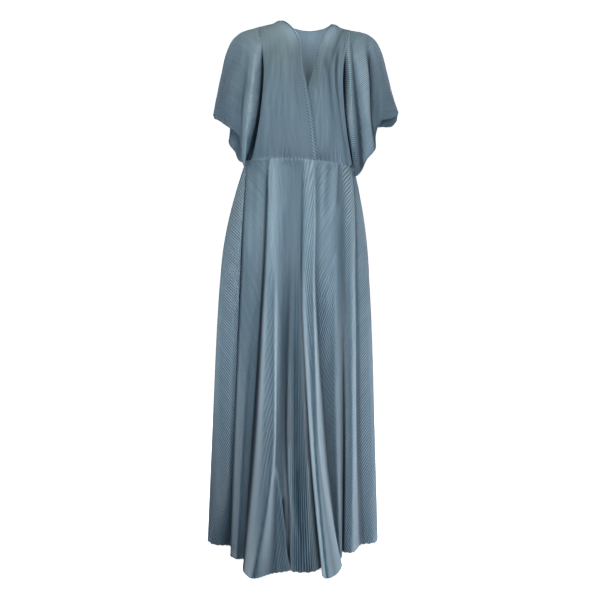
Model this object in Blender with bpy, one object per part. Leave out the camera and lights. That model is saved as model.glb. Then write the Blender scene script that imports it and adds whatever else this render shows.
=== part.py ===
"""Pleated floor-length dress with a lapped V-neck bodice and kimono sleeves, filled out with no wearer.

Frame: metres, +Z up, the front faces -Y, +X is the viewer's right. The origin is midway between the
two neck points, where the wearer's shoulders carry the dress.

Every cloth panel is a wall between a plain inside and an outside with one raised rib for each pleat.
A panel is a surface through its fold lines. The tables hold a row for each fold line, in millimetres,
where "front" is the distance forward of the shoulder seam, toward the viewer.
"""

import math
from collections import namedtuple

import bpy
import numpy as np

MM = 0.001

# Cloth wall: plain thickness between pleats, and how far a pleat stands out of it.
CLOTH_THICKNESS = 1.3 * MM
PLEAT_HEIGHT = 1.3 * MM
SEAM_GAP = 0.45 * MM

# Levels of the skirt's fold tables, below the origin.
WAIST_LEVEL = -398 * MM
HIP_LEVEL = -700 * MM
KNEE_LEVEL = -1100 * MM
HEM_LEVEL = -1453 * MM

# Waist seam: an oval in a slightly tilted plane, lower at the wearer's left.
WAIST_CENTRE_X = -21 * MM
WAIST_HALF_WIDTH = 147 * MM
WAIST_HALF_DEPTH = 104 * MM
WAIST_TILT = -0.06

# The hips swell the skirt a little just below the waist, as a share of the way out from a line inside it.
HIP_SWELL = 0.026
SWELL_CENTRE_X = -80 * MM
SWELL_POWER = 0.6

# Pleats and mesh rows of each panel.
SKIRT_PLEATS = 52
SKIRT_ROWS = 10
SKIRT_ROW_POWER = 1.25
FRONT_PLEATS = 24
BACK_PLEATS = 42
BODICE_ROWS = 9

# The bodice's fold lines leave the shoulder seam level and then fall.
BODICE_STATIONS = (0, 0.25, 0.5, 0.75, 1)
BODICE_FALL_POWER = 1.35

NORMAL_STEP = 1e-4
LEAST_MITRE = 0.35

CLOTH_COLOUR = (0.12, 0.19, 0.26, 1)
CLOTH_ROUGHNESS = 0.5

SkirtFold = namedtuple(
    "SkirtFold",
    "name waist_angle hip_x hip_front knee_x knee_front hem_x hem_front",
)

SKIRT_FOLDS = (
    SkirtFold("side_left", -90, -237, 0, -259, -4, -273, -6),
    SkirtFold("left_panel", -80, -223, 54, -243, 36, -245, 12),
    SkirtFold("left_cleft", -70, -179, 82, -197, 70, -213, 18),
    SkirtFold("second_crest", -62, -168, 110, -187, 114, -198, 118),
    SkirtFold("second_panel", -48, -140, 122, -163, 138, -178, 141),
    SkirtFold("second_cleft", -33, -114, 122, -142, 134, -159, 150),
    SkirtFold("big_left_edge", -30, -104, 140, -131, 190, -163, 234),
    SkirtFold("big_left_crest", -26, -88, 153, -108, 208, -137, 286),
    SkirtFold("big_left_face", -20, -68, 143, -85, 202, -92, 250),
    SkirtFold("recess_left", -14, -54, 136, -66, 176, -50, 224),
    SkirtFold("recess_cleft", -8, -40, 133, -46, 170, -42, 192),
    SkirtFold("recess_ridge", -3, -27, 135, -31, 182, -32, 236),
    SkirtFold("recess_right", 1, -17, 133, -13, 168, 8, 238),
    SkirtFold("centre_cleft", 4, -10, 131, 0, 160, 33, 210),
    SkirtFold("big_right_edge", 8, 0, 149, 11, 196, 41, 272),
    SkirtFold("big_right_crest", 13, 11, 156, 27, 208, 66, 258),
    SkirtFold("big_right_cleft", 18, 25, 139, 46, 170, 84, 186),
    SkirtFold("fourth_crest", 33, 62, 141, 77, 156, 90, 122),
    SkirtFold("fourth_cleft", 49, 96, 102, 97, 84, 95, 62),
    SkirtFold("fifth_crest", 61, 116, 108, 123, 100, 122, 72),
    SkirtFold("fifth_cleft", 71, 134, 82, 147, 46, 149, -6),
    SkirtFold("right_panel", 80, 156, 52, 174, 22, 186, -14),
    SkirtFold("side_right", 90, 169, 0, 187, -26, 199, -56),
    SkirtFold("back_right_crest", 108, 165, -62, 176, -98, 184, -142),
    SkirtFold("back_right_cleft", 122, 140, -88, 146, -118, 142, -150),
    SkirtFold("back_second_crest", 138, 112, -122, 116, -172, 114, -226),
    SkirtFold("back_second_cleft", 152, 74, -132, 76, -160, 68, -186),
    SkirtFold("back_middle_crest", 168, 34, -152, 32, -200, 26, -258),
    SkirtFold("back_middle_cleft", 182, -8, -142, -8, -172, -14, -204),
    SkirtFold("back_third_crest", 196, -48, -154, -56, -206, -62, -266),
    SkirtFold("back_third_cleft", 210, -92, -136, -102, -166, -112, -196),
    SkirtFold("back_fourth_crest", 224, -136, -130, -152, -176, -166, -220),
    SkirtFold("back_fourth_cleft", 240, -172, -96, -188, -118, -200, -138),
    SkirtFold("back_left_crest", 256, -214, -66, -235, -88, -247, -112),
)
FIRST_BACK_FOLD = "side_right"

BodiceFold = namedtuple(
    "BodiceFold",
    "name top_x top_front top_z yoke_x yoke_front bust_x bust_front rib_x rib_front foot_x foot_front foot_z",
)

# A foot_z of None puts the fold's foot on the waist seam.
FRONT_RIGHT_FOLDS = (
    BodiceFold("wrap_edge", -68, 0, 3, -21, 45, -11, 84, 9, 115, 31, 98, None),
    BodiceFold("breast", -88, 0, -3, -58, 55, -48, 101, -38, 120, -14, 104, None),
    BodiceFold("breast_middle", -100, 0, -6, -84, 57, -78, 102, -76, 117, -58, 101, None),
    BodiceFold("breast_side", -113, 0, -9, -103, 56, -103, 94, -108, 107, -108, 85, None),
    BodiceFold("gap_edge", -124, 0, -12, -117, 53, -119, 80, -134, 86, -152, 50, None),
    BodiceFold("gap_floor", -134, 0, -14, -126, 49, -126, 38, -140, 40, -168, 5, None),
    BodiceFold("gap_wall", -140, 0, -16, -132, 50, -133, 55, -148, 52, -179, 20, None),
    BodiceFold("sleeve_crest", -150, 0, -19, -141, 52, -142, 71, -158, 67, -171, 54, -409),
    BodiceFold("sleeve_valley", -168, 0, -24, -162, 48, -163, 57, -176, 50, -180, 42, -362),
    BodiceFold("sleeve_inner", -188, 0, -33, -184, 43, -181, 62, -185, 58, -187, 49, -324),
    BodiceFold("sleeve_middle", -206, 0, -50, -201, 36, -199, 59, -200, 61, -203, 52, -309),
    BodiceFold("sleeve_outer", -222, 0, -82, -217, 30, -215, 51, -216, 56, -218, 48, -298),
    BodiceFold("sleeve_edge", -238, 0, -148, -234, 18, -232, 33, -231, 39, -234, 34, -284),
    BodiceFold("cuff_edge", -252, 0, -216, -250, 9, -248, 16, -247, 19, -247, 18, -274),
    BodiceFold("cuff_point", -260, 0, -258, -260, 4, -259, 7, -258, 8, -257, 9, -268),
)

FRONT_LEFT_FOLDS = (
    BodiceFold("wrap_edge", 70, 0, -7, 39, 40, 16, 78, -12, 109, -34, 97, None),
    BodiceFold("breast", 84, 0, -13, 58, 50, 42, 94, 30, 111, 10, 95, None),
    BodiceFold("breast_side", 97, 0, -18, 74, 54, 58, 98, 64, 110, 52, 86, None),
    BodiceFold("side_shade", 106, 0, -21, 84, 55, 71, 87, 86, 94, 92, 65, None),
    BodiceFold("fold_face", 112, 0, -22, 91, 56, 85, 90, 96, 78, 113, 42, None),
    BodiceFold("slit", 119, 0, -24, 102, 54, 101, 54, 104, 68, 125, 5, None),
    BodiceFold("slit_wall", 122, 0, -24.5, 106, 53, 106, 64, 112, 75, 140, 26, -398),
    BodiceFold("first_crest", 127, 0, -25.5, 112, 56, 113, 79, 120, 83, 133, 62, -436),
    BodiceFold("first_valley", 136, 0, -27, 121, 53, 126, 58, 137, 58, 147, 50, -420),
    BodiceFold("second_crest", 148, 0, -29, 133, 54, 144, 73, 157, 70, 162, 46, -388),
    BodiceFold("sleeve_step", 162, 0, -33, 152, 52, 165, 66, 169, 62, 177, 42, -371),
    BodiceFold("step_floor", 176, 0, -40, 168, 44, 173, 42, 176, 38, 189, 37, -350),
    BodiceFold("sleeve_inner", 190, 0, -53, 184, 38, 184, 43, 186, 42, 190, 36, -312),
    BodiceFold("sleeve_outer", 205, 0, -80, 200, 31, 198, 46, 198, 48, 200, 41, -285),
    BodiceFold("sleeve_edge", 222, 0, -142, 218, 21, 216, 36, 214, 39, 218, 34, -276),
    BodiceFold("cuff_edge", 238, 0, -205, 237, 11, 236, 18, 236, 21, 237, 20, -269),
    BodiceFold("cuff_point", 253, 0, -250, 253, 3, 252, 6, 252, 7, 251, 8, -259),
)

BACK_FOLDS = (
    BodiceFold("right_cuff_point", -260, 0, -258, -260, -4, -259, -7, -258, -8, -257, -9, -266),
    BodiceFold("right_cuff_edge", -252, 0, -216, -250, -10, -249, -19, -248, -23, -247, -23, -264),
    BodiceFold("right_sleeve_edge", -238, 0, -148, -236, -22, -235, -40, -234, -46, -232, -42, -268),
    BodiceFold("right_sleeve_outer", -222, 0, -82, -219, -32, -220, -57, -220, -62, -214, -54, -290),
    BodiceFold("right_sleeve_middle", -206, 0, -50, -202, -42, -204, -68, -211, -70, -220, -50, -328),
    BodiceFold("right_sleeve_inner", -188, 0, -33, -182, -50, -184, -76, -194, -77, -203, -42, -352),
    BodiceFold("right_wing", -168, 0, -24, -160, -56, -160, -85, -173, -86, -191, -30, -379),
    BodiceFold("right_side", -150, 0, -19, -140, -60, -138, -92, -147, -92, -167.6, -5, None),
    BodiceFold("right_blade", -124, 0, -12, -112, -64, -108, -99, -114, -98, -138, -64, None),
    BodiceFold("right_back", -98, 0, -6, -82, -66, -76, -103, -78, -106, -86, -94, None),
    BodiceFold("right_neck", -68, 0, 3, -48, -70, -38, -104, -39, -109, -46, -102, None),
    BodiceFold("neck_right_middle", -38, -36, -6, -24, -80, -19, -105, -21, -110, -30, -104, None),
    BodiceFold("neck_middle", 4, -47, -11, 2, -86, 0, -106, -6, -111, -20, -104, None),
    BodiceFold("neck_left_middle", 44, -32, -10, 26, -80, 19, -105, 11, -110, -9, -104, None),
    BodiceFold("left_neck", 70, 0, -7, 48, -70, 38, -104, 28, -109, 4, -102, None),
    BodiceFold("left_back", 95, 0, -17, 80, -66, 72, -103, 64, -106, 44, -94, None),
    BodiceFold("left_blade", 122, 0, -24.5, 110, -64, 104, -99, 98, -98, 94, -65, None),
    BodiceFold("left_side", 148, 0, -29, 136, -60, 130, -92, 130, -90, 125, -5, None),
    BodiceFold("left_wing", 166, 0, -34, 156, -56, 154, -84, 157, -82, 154, -26, -388),
    BodiceFold("left_sleeve_inner", 184, 0, -47, 176, -50, 174, -74, 177, -74, 175, -36, -350),
    BodiceFold("left_sleeve_middle", 200, 0, -69, 194, -42, 192, -64, 193, -66, 190, -46, -308),
    BodiceFold("left_sleeve_outer", 215, 0, -115, 210, -30, 208, -52, 208, -56, 208, -50, -288),
    BodiceFold("left_sleeve_edge", 230, 0, -175, 227, -20, 226, -36, 226, -41, 226, -38, -285),
    BodiceFold("left_cuff_edge", 244, 0, -228, 243, -8, 242, -16, 241, -19, 241, -19, -281),
    BodiceFold("left_cuff_point", 253, 0, -250, 253, -3, 252, -6, 251, -7, 250, -8, -270),
)


def spline(knots, values, at, steady=False):
    """Smooth curve through the values. A steady one never swings past them."""
    steps = np.diff(knots)
    shape = (-1,) + (1,) * (values.ndim - 1)
    rises = np.diff(values, axis=0) / steps.reshape(shape)
    before = steps[:-1].reshape(shape)
    after = steps[1:].reshape(shape)
    slopes = np.empty_like(values)
    slopes[1:-1] = (rises[:-1] * after + rises[1:] * before) / (before + after)
    if steady:
        product = rises[:-1] * rises[1:]
        total = np.where(product > 0, rises[:-1] + rises[1:], 1)
        slopes[1:-1] = np.where(product > 0, 2 * product / total, 0)
    slopes[0] = 1.5 * rises[0] - 0.5 * slopes[1]
    slopes[-1] = 1.5 * rises[-1] - 0.5 * slopes[-2]
    cell = np.clip(np.searchsorted(knots, at, side="right") - 1, 0, len(steps) - 1)
    step = steps[cell].reshape(shape)
    along = ((at - knots[cell]) / steps[cell]).reshape(shape)
    past_start = along * along * (3 - 2 * along)
    start_pull = along * (1 - along) ** 2
    end_pull = along * along * (along - 1)
    return (
        values[cell] * (1 - past_start)
        + values[cell + 1] * past_start
        + slopes[cell] * step * start_pull
        + slopes[cell + 1] * step * end_pull
    )


def waist_seam_height(x):
    return WAIST_LEVEL + WAIST_TILT * (x - WAIST_CENTRE_X)


class SkirtForm:
    """The skirt all round, as rings through the fold table's points at each level."""

    def __init__(self, folds):
        rows = [self.fold_line(fold) for fold in folds]
        lines = np.array(rows).transpose(1, 0, 2)
        self.count = len(folds)
        gaps = np.linalg.norm(np.roll(lines, -1, axis=1) - lines, axis=2).mean(axis=0)
        starts = np.concatenate([[0], np.cumsum(gaps)])
        self.length = starts[-1]
        spare = 3
        self.knots = np.concatenate(
            [
                starts[-1 - spare : -1] - self.length,
                starts[:-1],
                starts[:spare] + self.length,
            ]
        )
        self.lines = np.concatenate([lines[:, -spare:], lines, lines[:, :spare]], axis=1)
        self.starts = dict(zip([fold.name for fold in folds], starts))

    @staticmethod
    def fold_line(fold):
        angle = math.radians(fold.waist_angle)
        waist = (
            WAIST_CENTRE_X + WAIST_HALF_WIDTH * math.sin(angle),
            WAIST_HALF_DEPTH * math.cos(angle),
        )
        hip = (fold.hip_x * MM, fold.hip_front * MM)
        knee = (fold.knee_x * MM, fold.knee_front * MM)
        hem = (fold.hem_x * MM, fold.hem_front * MM)
        return waist, hip, knee, hem

    def points(self, around, down):
        """Points for each share down the skirt (0 waist, 1 hem) and each distance around it."""
        levels = np.array([WAIST_LEVEL, HIP_LEVEL, KNEE_LEVEL, HEM_LEVEL])
        heights = WAIST_LEVEL + (HEM_LEVEL - WAIST_LEVEL) * down
        rings = spline(-levels, self.lines, -heights, steady=True)
        hip_share = np.clip((heights - WAIST_LEVEL) / (HIP_LEVEL - WAIST_LEVEL), 0, 1)
        swell = 1 + HIP_SWELL * np.sin(math.pi * hip_share**SWELL_POWER)
        across = spline(self.knots, rings.transpose(1, 0, 2), around).transpose(1, 0, 2)
        centre = np.array([SWELL_CENTRE_X, 0])
        across = centre + (across - centre) * swell[:, None, None]
        tilt_share = (1 - down)[:, None]
        height = heights[:, None] + tilt_share * WAIST_TILT * (across[..., 0] - WAIST_CENTRE_X)
        return np.stack([across[..., 0], -across[..., 1], height], axis=-1)


class BodiceForm:
    """A bodice panel through its fold lines, from the shoulder seam down to the waist or sleeve hem."""

    def __init__(self, folds):
        lines = np.array([self.fold_line(fold) for fold in folds]).transpose(1, 0, 2)
        gaps = np.linalg.norm(np.diff(lines, axis=1), axis=2).mean(axis=0)
        self.knots = np.concatenate([[0], np.cumsum(gaps)])
        self.length = self.knots[-1]
        self.lines = lines
        on_waist = [fold.foot_z is None for fold in folds]
        self.waist_from = self.knots[on_waist.index(True)]
        self.waist_to = self.knots[len(folds) - 1 - on_waist[::-1].index(True)]

    @staticmethod
    def fold_line(fold):
        top_z = fold.top_z * MM
        if fold.foot_z is None:
            foot_z = waist_seam_height(fold.foot_x * MM) + SEAM_GAP
        else:
            foot_z = fold.foot_z * MM
        plan = (
            (fold.top_x, fold.top_front),
            (fold.yoke_x, fold.yoke_front),
            (fold.bust_x, fold.bust_front),
            (fold.rib_x, fold.rib_front),
            (fold.foot_x, fold.foot_front),
        )
        return [
            (x * MM, -front * MM, top_z + (foot_z - top_z) * station**BODICE_FALL_POWER)
            for (x, front), station in zip(plan, BODICE_STATIONS)
        ]

    def points(self, across, down):
        stations = np.array(BODICE_STATIONS, float)
        heights = np.array(BODICE_STATIONS) ** BODICE_FALL_POWER
        plan = spline(stations, self.lines[..., :2], down)
        fall = (down**BODICE_FALL_POWER)[:, None, None]
        top = self.lines[0, :, 2][None, :, None]
        foot = self.lines[-1, :, 2][None, :, None]
        rows = np.concatenate([plan, top + (foot - top) * fall / heights[-1]], axis=2)
        return spline(self.knots, rows.transpose(1, 0, 2), across).transpose(1, 0, 2)

    def feet_on_waist(self, across):
        return (across >= self.waist_from) & (across <= self.waist_to)


def normals(form, across, down):
    """Outward unit normals, from the form a small step to each side."""
    step = NORMAL_STEP
    sideways = form.points(across + step, down) - form.points(across - step, down)
    lower = np.clip(down + step, 0, 1)
    upper = np.clip(down - step, 0, 1)
    downward = form.points(across, lower) - form.points(across, upper)
    found = np.cross(downward, sideways)
    return found / np.linalg.norm(found, axis=2, keepdims=True)


def mitred(offset, normal, plane_normal):
    """The offset turned into the plane of a seam, and lengthened to keep the wall's thickness."""
    along = (normal @ plane_normal)[..., None]
    flat = normal - along * plane_normal
    length = np.maximum(np.linalg.norm(flat, axis=-1, keepdims=True), LEAST_MITRE)
    return offset * flat / length**2


def wall_faces(rows, columns):
    """Quads of a wall whose outer grid comes first and whose inner grid follows it."""
    outer = np.arange(rows * columns).reshape(rows, columns)
    inner = outer + rows * columns
    faces = []
    for row in range(rows - 1):
        for column in range(columns - 1):
            here = outer[row, column]
            right = outer[row, column + 1]
            below = outer[row + 1, column]
            beyond = outer[row + 1, column + 1]
            faces.append((here, below, beyond, right))
            shift = rows * columns
            faces.append((here + shift, right + shift, beyond + shift, below + shift))
    for column in range(columns - 1):
        top = (outer[0, column], outer[0, column + 1], inner[0, column + 1], inner[0, column])
        foot = (outer[-1, column], inner[-1, column], inner[-1, column + 1], outer[-1, column + 1])
        faces += [top, foot]
    for row in range(rows - 1):
        start = (outer[row, 0], inner[row, 0], inner[row + 1, 0], outer[row + 1, 0])
        end = (outer[row, -1], outer[row + 1, -1], inner[row + 1, -1], inner[row, -1])
        faces += [start, end]
    return faces


def add_panel(name, outer, inner, collection):
    rows, columns = outer.shape[:2]
    points = np.concatenate([outer.reshape(-1, 3), inner.reshape(-1, 3)])
    mesh = bpy.data.meshes.new(name)
    mesh.from_pydata(points.tolist(), [], [list(map(int, face)) for face in wall_faces(rows, columns)])
    mesh.validate()
    material = bpy.data.materials.new(name + "_cloth")
    material.use_nodes = True
    shader = material.node_tree.nodes["Principled BSDF"]
    shader.inputs["Base Color"].default_value = CLOTH_COLOUR
    shader.inputs["Roughness"].default_value = CLOTH_ROUGHNESS
    mesh.materials.append(material)
    panel = bpy.data.objects.new(name, mesh)
    collection.objects.link(panel)


def pleat_offsets(pleats, rows):
    """Wall thickness at each mesh point: every second column is a pleat's crest."""
    crest = np.arange(2 * pleats + 1) % 2
    offset = CLOTH_THICKNESS + PLEAT_HEIGHT * crest
    return np.tile(offset[None, :, None], (rows, 1, 1))


def waist_plane():
    across = np.array([WAIST_TILT, 0, -1])
    return across / np.linalg.norm(across)


def add_skirt_panel(name, form, start, end, collection):
    around = np.linspace(start, end, 2 * SKIRT_PLEATS + 1)
    down = np.linspace(0, 1, SKIRT_ROWS + 1) ** SKIRT_ROW_POWER
    inner = form.points(around, down)
    for side, inward in ((0, NORMAL_STEP), (-1, -NORMAL_STEP)):
        step = form.points(around[side : side + 1 or None] + inward, down)[:, 0] - inner[:, side]
        inner[:, side] += SEAM_GAP / 2 * step / np.linalg.norm(step, axis=1, keepdims=True)
    normal = normals(form, around, down)
    offset = pleat_offsets(SKIRT_PLEATS, SKIRT_ROWS + 1)
    outer = inner + offset * normal
    outer[0] = inner[0] + mitred(offset[0], normal[0], waist_plane())
    add_panel(name, outer, inner, collection)


def add_bodice_panel(name, form, pleats, seam_side, collection):
    """seam_side is -1 for a front and 1 for the back: which way from the shoulder seam it lies."""
    across = np.linspace(0, form.length, 2 * pleats + 1)
    down = np.linspace(0, 1, BODICE_ROWS + 1)
    inner = form.points(across, down)
    fold_direction = np.sign(inner[0, -1, 0] - inner[0, 0, 0])
    outward = -seam_side * fold_direction
    normal = normals(form, across, down) * outward
    offset = pleat_offsets(pleats, BODICE_ROWS + 1)
    outer = inner + offset * normal
    on_waist = form.feet_on_waist(across)
    waist_offset = mitred(offset[-1], normal[-1], waist_plane())
    inner[-1, on_waist, 2] = waist_seam_height(inner[-1, on_waist, 0]) + SEAM_GAP
    outer[-1, on_waist] = (inner[-1] + waist_offset)[on_waist]
    on_shoulder = seam_side * inner[0, :, 1] < SEAM_GAP
    seam_plane = np.array([0, 1, 0])
    shoulder_offset = mitred(offset[0], normal[0], seam_plane)
    inner[0, on_shoulder, 1] = seam_side * SEAM_GAP / 2
    outer[0, on_shoulder] = (inner[0] + shoulder_offset)[on_shoulder]
    if outward < 0:
        inner, outer = inner[:, ::-1], outer[:, ::-1]
    add_panel(name, outer, inner, collection)


def main():
    for old in list(bpy.data.objects):
        bpy.data.objects.remove(old)
    collection = bpy.data.collections.new("pleated_maxi_dress")
    bpy.context.scene.collection.children.link(collection)
    skirt = SkirtForm(SKIRT_FOLDS)
    side_right = skirt.starts[FIRST_BACK_FOLD]
    add_skirt_panel("skirt_front", skirt, 0, side_right, collection)
    add_skirt_panel("skirt_back", skirt, side_right, skirt.length, collection)
    right = BodiceForm(FRONT_RIGHT_FOLDS)
    left = BodiceForm(FRONT_LEFT_FOLDS)
    back = BodiceForm(BACK_FOLDS)
    add_bodice_panel("bodice_front_right", right, FRONT_PLEATS, -1, collection)
    add_bodice_panel("bodice_front_left", left, FRONT_PLEATS, -1, collection)
    add_bodice_panel("bodice_back", back, BACK_PLEATS, 1, collection)


main()
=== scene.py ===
import math

import bmesh
import bpy
import numpy as np
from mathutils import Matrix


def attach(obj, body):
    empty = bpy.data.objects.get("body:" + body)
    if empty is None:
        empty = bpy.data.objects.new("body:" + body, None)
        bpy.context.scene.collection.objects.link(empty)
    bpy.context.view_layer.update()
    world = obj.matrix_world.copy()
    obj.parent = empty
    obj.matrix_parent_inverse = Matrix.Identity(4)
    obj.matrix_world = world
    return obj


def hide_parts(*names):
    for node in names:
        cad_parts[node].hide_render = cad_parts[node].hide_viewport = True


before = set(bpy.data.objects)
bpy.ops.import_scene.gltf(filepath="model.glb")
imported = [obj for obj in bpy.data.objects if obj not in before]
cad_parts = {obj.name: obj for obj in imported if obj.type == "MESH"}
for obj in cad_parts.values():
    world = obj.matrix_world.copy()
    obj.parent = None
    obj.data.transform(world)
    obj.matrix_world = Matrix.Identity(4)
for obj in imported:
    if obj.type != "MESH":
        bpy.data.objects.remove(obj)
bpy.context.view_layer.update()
mm = 0.001
hair = 1e-9  # keeps a division or a sign from meeting zero
print("packed frame loaded")

# the dress's form, in the same sizes as the solids
waist = {
    "level": -398 * mm,
    "centreX": -21 * mm,
    "halfWidth": 147 * mm,
    "halfDepth": 104 * mm,
    "tilt": -0.06,
    "gatherPitch": 8 * mm,
    "gatherAbove": 6 * mm,
    "gatherBelow": 9 * mm,
    "gatherHeight": 1.3 * mm,
    # painted light and shade on the gathers
    "gatherPaintedShading": 0.6,
    "gatherMean": 0.55,
    "gatherSwing": 0.45,
    "gatherWaves": (61, 1.3, 23),  # the first uneven wave in radians a metre, its start, and the second one
    "gatherDrift": (0.35, 90),  # how far the gathers shift, in pitches, and in how many radians a metre
    # painted light along the seam, over the width below
    "seamPaintedLight": 0.32,
    "seamWidth": 4 * mm,
}
skirtForm = {
    "levels": np.array([-398, -700, -1100, -1453]) * mm,
    "hipSwell": 0.026,
    "swellCentre": np.array([-80 * mm, 0]),
    "swellPower": 0.6,
}
bodiceForm = {
    "stations": np.array([0, 0.25, 0.5, 0.75, 1]),
    "fall": 1.35,
}
cloth = {
    "standOff": 1.9 * mm,  # middle of the pleats, out from the plain inside of the solids
    "seamStandOff": 1.6 * mm,
    "standReach": 9 * mm,  # how far from the waist seam the sheet stands off in full
    "seamGap": 0.02 * mm,
    "seamReach": 3 * mm,
    "shoulderTurn": 5 * mm,  # where the sheet turns into the plane of a seam
    "waistTurn": 4 * mm,
    "puckerShare": 0.35,  # of a pucker's height, at the waist seam itself
    "puckerReach": 8 * mm,
    "softReach": 12 * mm,
    "pleatShare": 0.04,  # of a pleat's depth, likewise
    "weld": 0.02 * mm,
    "edgeTolerance": 1e-6,
    "darkest": 0.97,
}

# name, waist angle, then how far out and how far forward at the hip, knee and hem, in mm
skirtFolds = [
    ("sideLeft", -90, -237, 0, -259, -4, -273, -6),
    ("leftPanel", -83, -222, 54, -241, 38, -244, 8),
    ("leftLip", -75, -183, 96, -199, 78, -213, 10),
    ("leftCleft", -74, -184, 62, -195, 44, -201, 26),
    ("secondLip", -73, -174, 97, -189, 100, -200, 112),
    ("secondCrest", -64, -163, 111, -180, 114, -191, 122),
    ("secondPanel", -48, -138, 122, -163, 130, -182, 134),
    ("secondCleft", -33.5, -116, 115, -141, 106, -166, 128),
    ("bigLeftLip", -32.5, -108, 143, -127, 178, -158, 234),
    ("bigLeftEdge", -30.5, -99, 151, -111, 200, -148, 264),
    ("bigLeftCrest", -26.5, -89, 154, -89, 208, -135, 286),
    ("bigLeftFace", -20.7, -77, 142, -83, 170, -90, 250),
    ("recessLeft", -14.7, -63, 133, -68, 156, -47, 226),
    ("recessCleft", -8.8, -48, 130, -55, 150, -42, 186),
    ("recessRidge", -3.6, -32, 134, -33, 172, -35, 236),
    ("recessRight", 0.6, -20, 131, -11, 164, 12, 236),
    ("centreCleft", 3.7, -14, 122, 2, 146, 36, 200),
    ("bigRightLip", 5.3, -9, 147, 8, 194, 40, 272),
    ("bigRightEdge", 8.4, -2, 155, 14, 207, 47, 285),
    ("bigRightCrest", 13.2, 10, 156, 22, 207, 64, 264),
    ("bigRightCorner", 15.6, 15, 148, 26, 192, 84, 194),
    ("bigRightCleft", 18.6, 22, 137, 40, 156, 79, 140),
    ("fourthCrest", 32.5, 60, 142, 72, 154, 86, 124),
    ("fourthCleft", 47, 94, 108, 101, 66, 96, 42),
    ("fifthLip", 52, 100, 111, 105, 94, 101, 72),
    ("fifthCrest", 61.8, 113, 113, 118, 103, 121, 74),
    ("fifthEdge", 66, 121, 106, 126, 92, 130, 52),
    ("fifthCleft", 69, 128, 80, 133, 52, 147, 4),
    ("rightPanel", 80, 156, 52, 174, 22, 186, -14),
    ("sideRight", 90, 169, 0, 187, -26, 199, -56),
    ("backRightCrest", 108, 165, -62, 176, -98, 184, -142),
    ("backRightCleft", 122, 140, -88, 146, -118, 142, -150),
    ("backSecondCrest", 138, 112, -122, 116, -172, 114, -226),
    ("backSecondCleft", 152, 74, -132, 76, -160, 68, -186),
    ("backMiddleCrest", 168, 34, -152, 32, -200, 26, -258),
    ("backMiddleCleft", 182, -8, -142, -8, -172, -14, -204),
    ("backThirdCrest", 196, -48, -154, -56, -206, -62, -266),
    ("backThirdCleft", 210, -92, -136, -102, -166, -112, -196),
    ("backFourthCrest", 224, -136, -130, -152, -176, -166, -220),
    ("backFourthCleft", 240, -172, -96, -188, -118, -200, -138),
    ("backLeftCrest", 256, -214, -66, -235, -88, -247, -112),
]

# the cavity measure behind the painted shade: its samples, rows, smoothing width, and the depth of full
# painted shade
hollowForm = {
    "samples": 480,
    "rows": 30,
    "width": 26 * mm,
    "depth": 34 * mm,
}

# how clearly the pleats show at some of the folds, on the upper and on the lower skirt. They are at their
# deepest at 1, and past it only their painted light on the crests and painted shade in the creases grow
skirtBoldness = {
    "sideLeft": (0.8, 1.3),
    "leftLip": (1.0, 1.2),
    "secondLip": (0.2, 0.8),
    "secondCrest": (0.04, 0.6),
    "secondPanel": (0.02, 0.5),
    "secondCleft": (0.05, 1.1),
    "bigLeftLip": (0.15, 2.4),
    "bigLeftCrest": (0.2, 2.6),
    "bigLeftFace": (0.12, 2.2),
    "recessLeft": (0.05, 1.3),
    "recessRight": (0.08, 1.1),
    "bigRightLip": (0.5, 2.6),
    "bigRightCorner": (0.75, 1.5),
    "bigRightCleft": (0.15, 2.0),
    "fourthCrest": (0.05, 1.9),
    "fourthCleft": (0.2, 1.5),
    "fifthLip": (1.0, 1.5),
    "fifthCrest": (1.1, 1.5),
    "fifthCleft": (0.7, 1.2),
    "sideRight": (0.9, 1.4),
}
bodiceBoldness = {
    "wrapEdge": 0.1,
    "breast": 0.08,
    "gapEdge": 0.12,
    "foldFace": 0.45,
    "gapWall": 0.5,
    "slitWall": 0.9,
    "firstCrest": 1.0,
    "sleeveCrest": 0.5,
    "secondCrest": 0.8,
    "sleeveInner": 0.4,
    "cuffPoint": 0.5,
    "rightCuffPoint": 0.8,
    "rightSide": 0.4,
    "neckMiddle": 0.1,
    "leftSide": 0.4,
    "leftCuffPoint": 0.8,
}

# name, then the top's x, front and z, the x and front at the yoke, bust and rib, and the foot's x, front
# and z, in mm. A foot without a z is on the waist seam
frontRightFolds = [
    ("wrapEdge", -68, 0, 4, -21, 45, -11, 84, 9, 115, 25, 99, None),
    ("breast", -88, 0, -3, -58, 55, -48, 101, -38, 120, -14, 104, None),
    ("breastMiddle", -100, 0, -6, -84, 57, -78, 102, -76, 117, -58, 101, None),
    ("breastSide", -113, 0, -9, -103, 56, -103, 94, -108, 107, -108, 85, None),
    ("gapEdge", -124, 0, -12, -118, 54, -114, 85, -122, 93, -140, 54, None),
    ("gapFloor", -131, 0, -13.5, -122, 54, -116, 12, -127, 14, -156, 20, None),
    ("gapWall", -138, 0, -15.5, -128, 52, -130, 55, -142, 56, -172, 24, None),
    ("sleeveCrest", -150, 0, -19, -142, 52, -145, 72, -160, 68, -171, 54, -409),
    ("sleeveValley", -168, 0, -24, -162, 48, -163, 57, -176, 50, -180, 42, -362),
    ("sleeveInner", -188, 0, -33, -184, 43, -181, 62, -185, 58, -187, 49, -324),
    ("sleeveMiddle", -206, 0, -50, -201, 36, -199, 59, -200, 61, -203, 52, -309),
    ("sleeveOuter", -222, 0, -82, -217, 30, -215, 51, -216, 56, -218, 48, -298),
    ("sleeveEdge", -238, 0, -148, -234, 18, -232, 33, -231, 39, -234, 34, -284),
    ("cuffEdge", -252, 0, -216, -250, 9, -248, 16, -247, 19, -247, 18, -274),
    ("cuffPoint", -260, 0, -258, -260, 4, -259, 7, -258, 8, -257, 9, -268),
]
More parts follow.
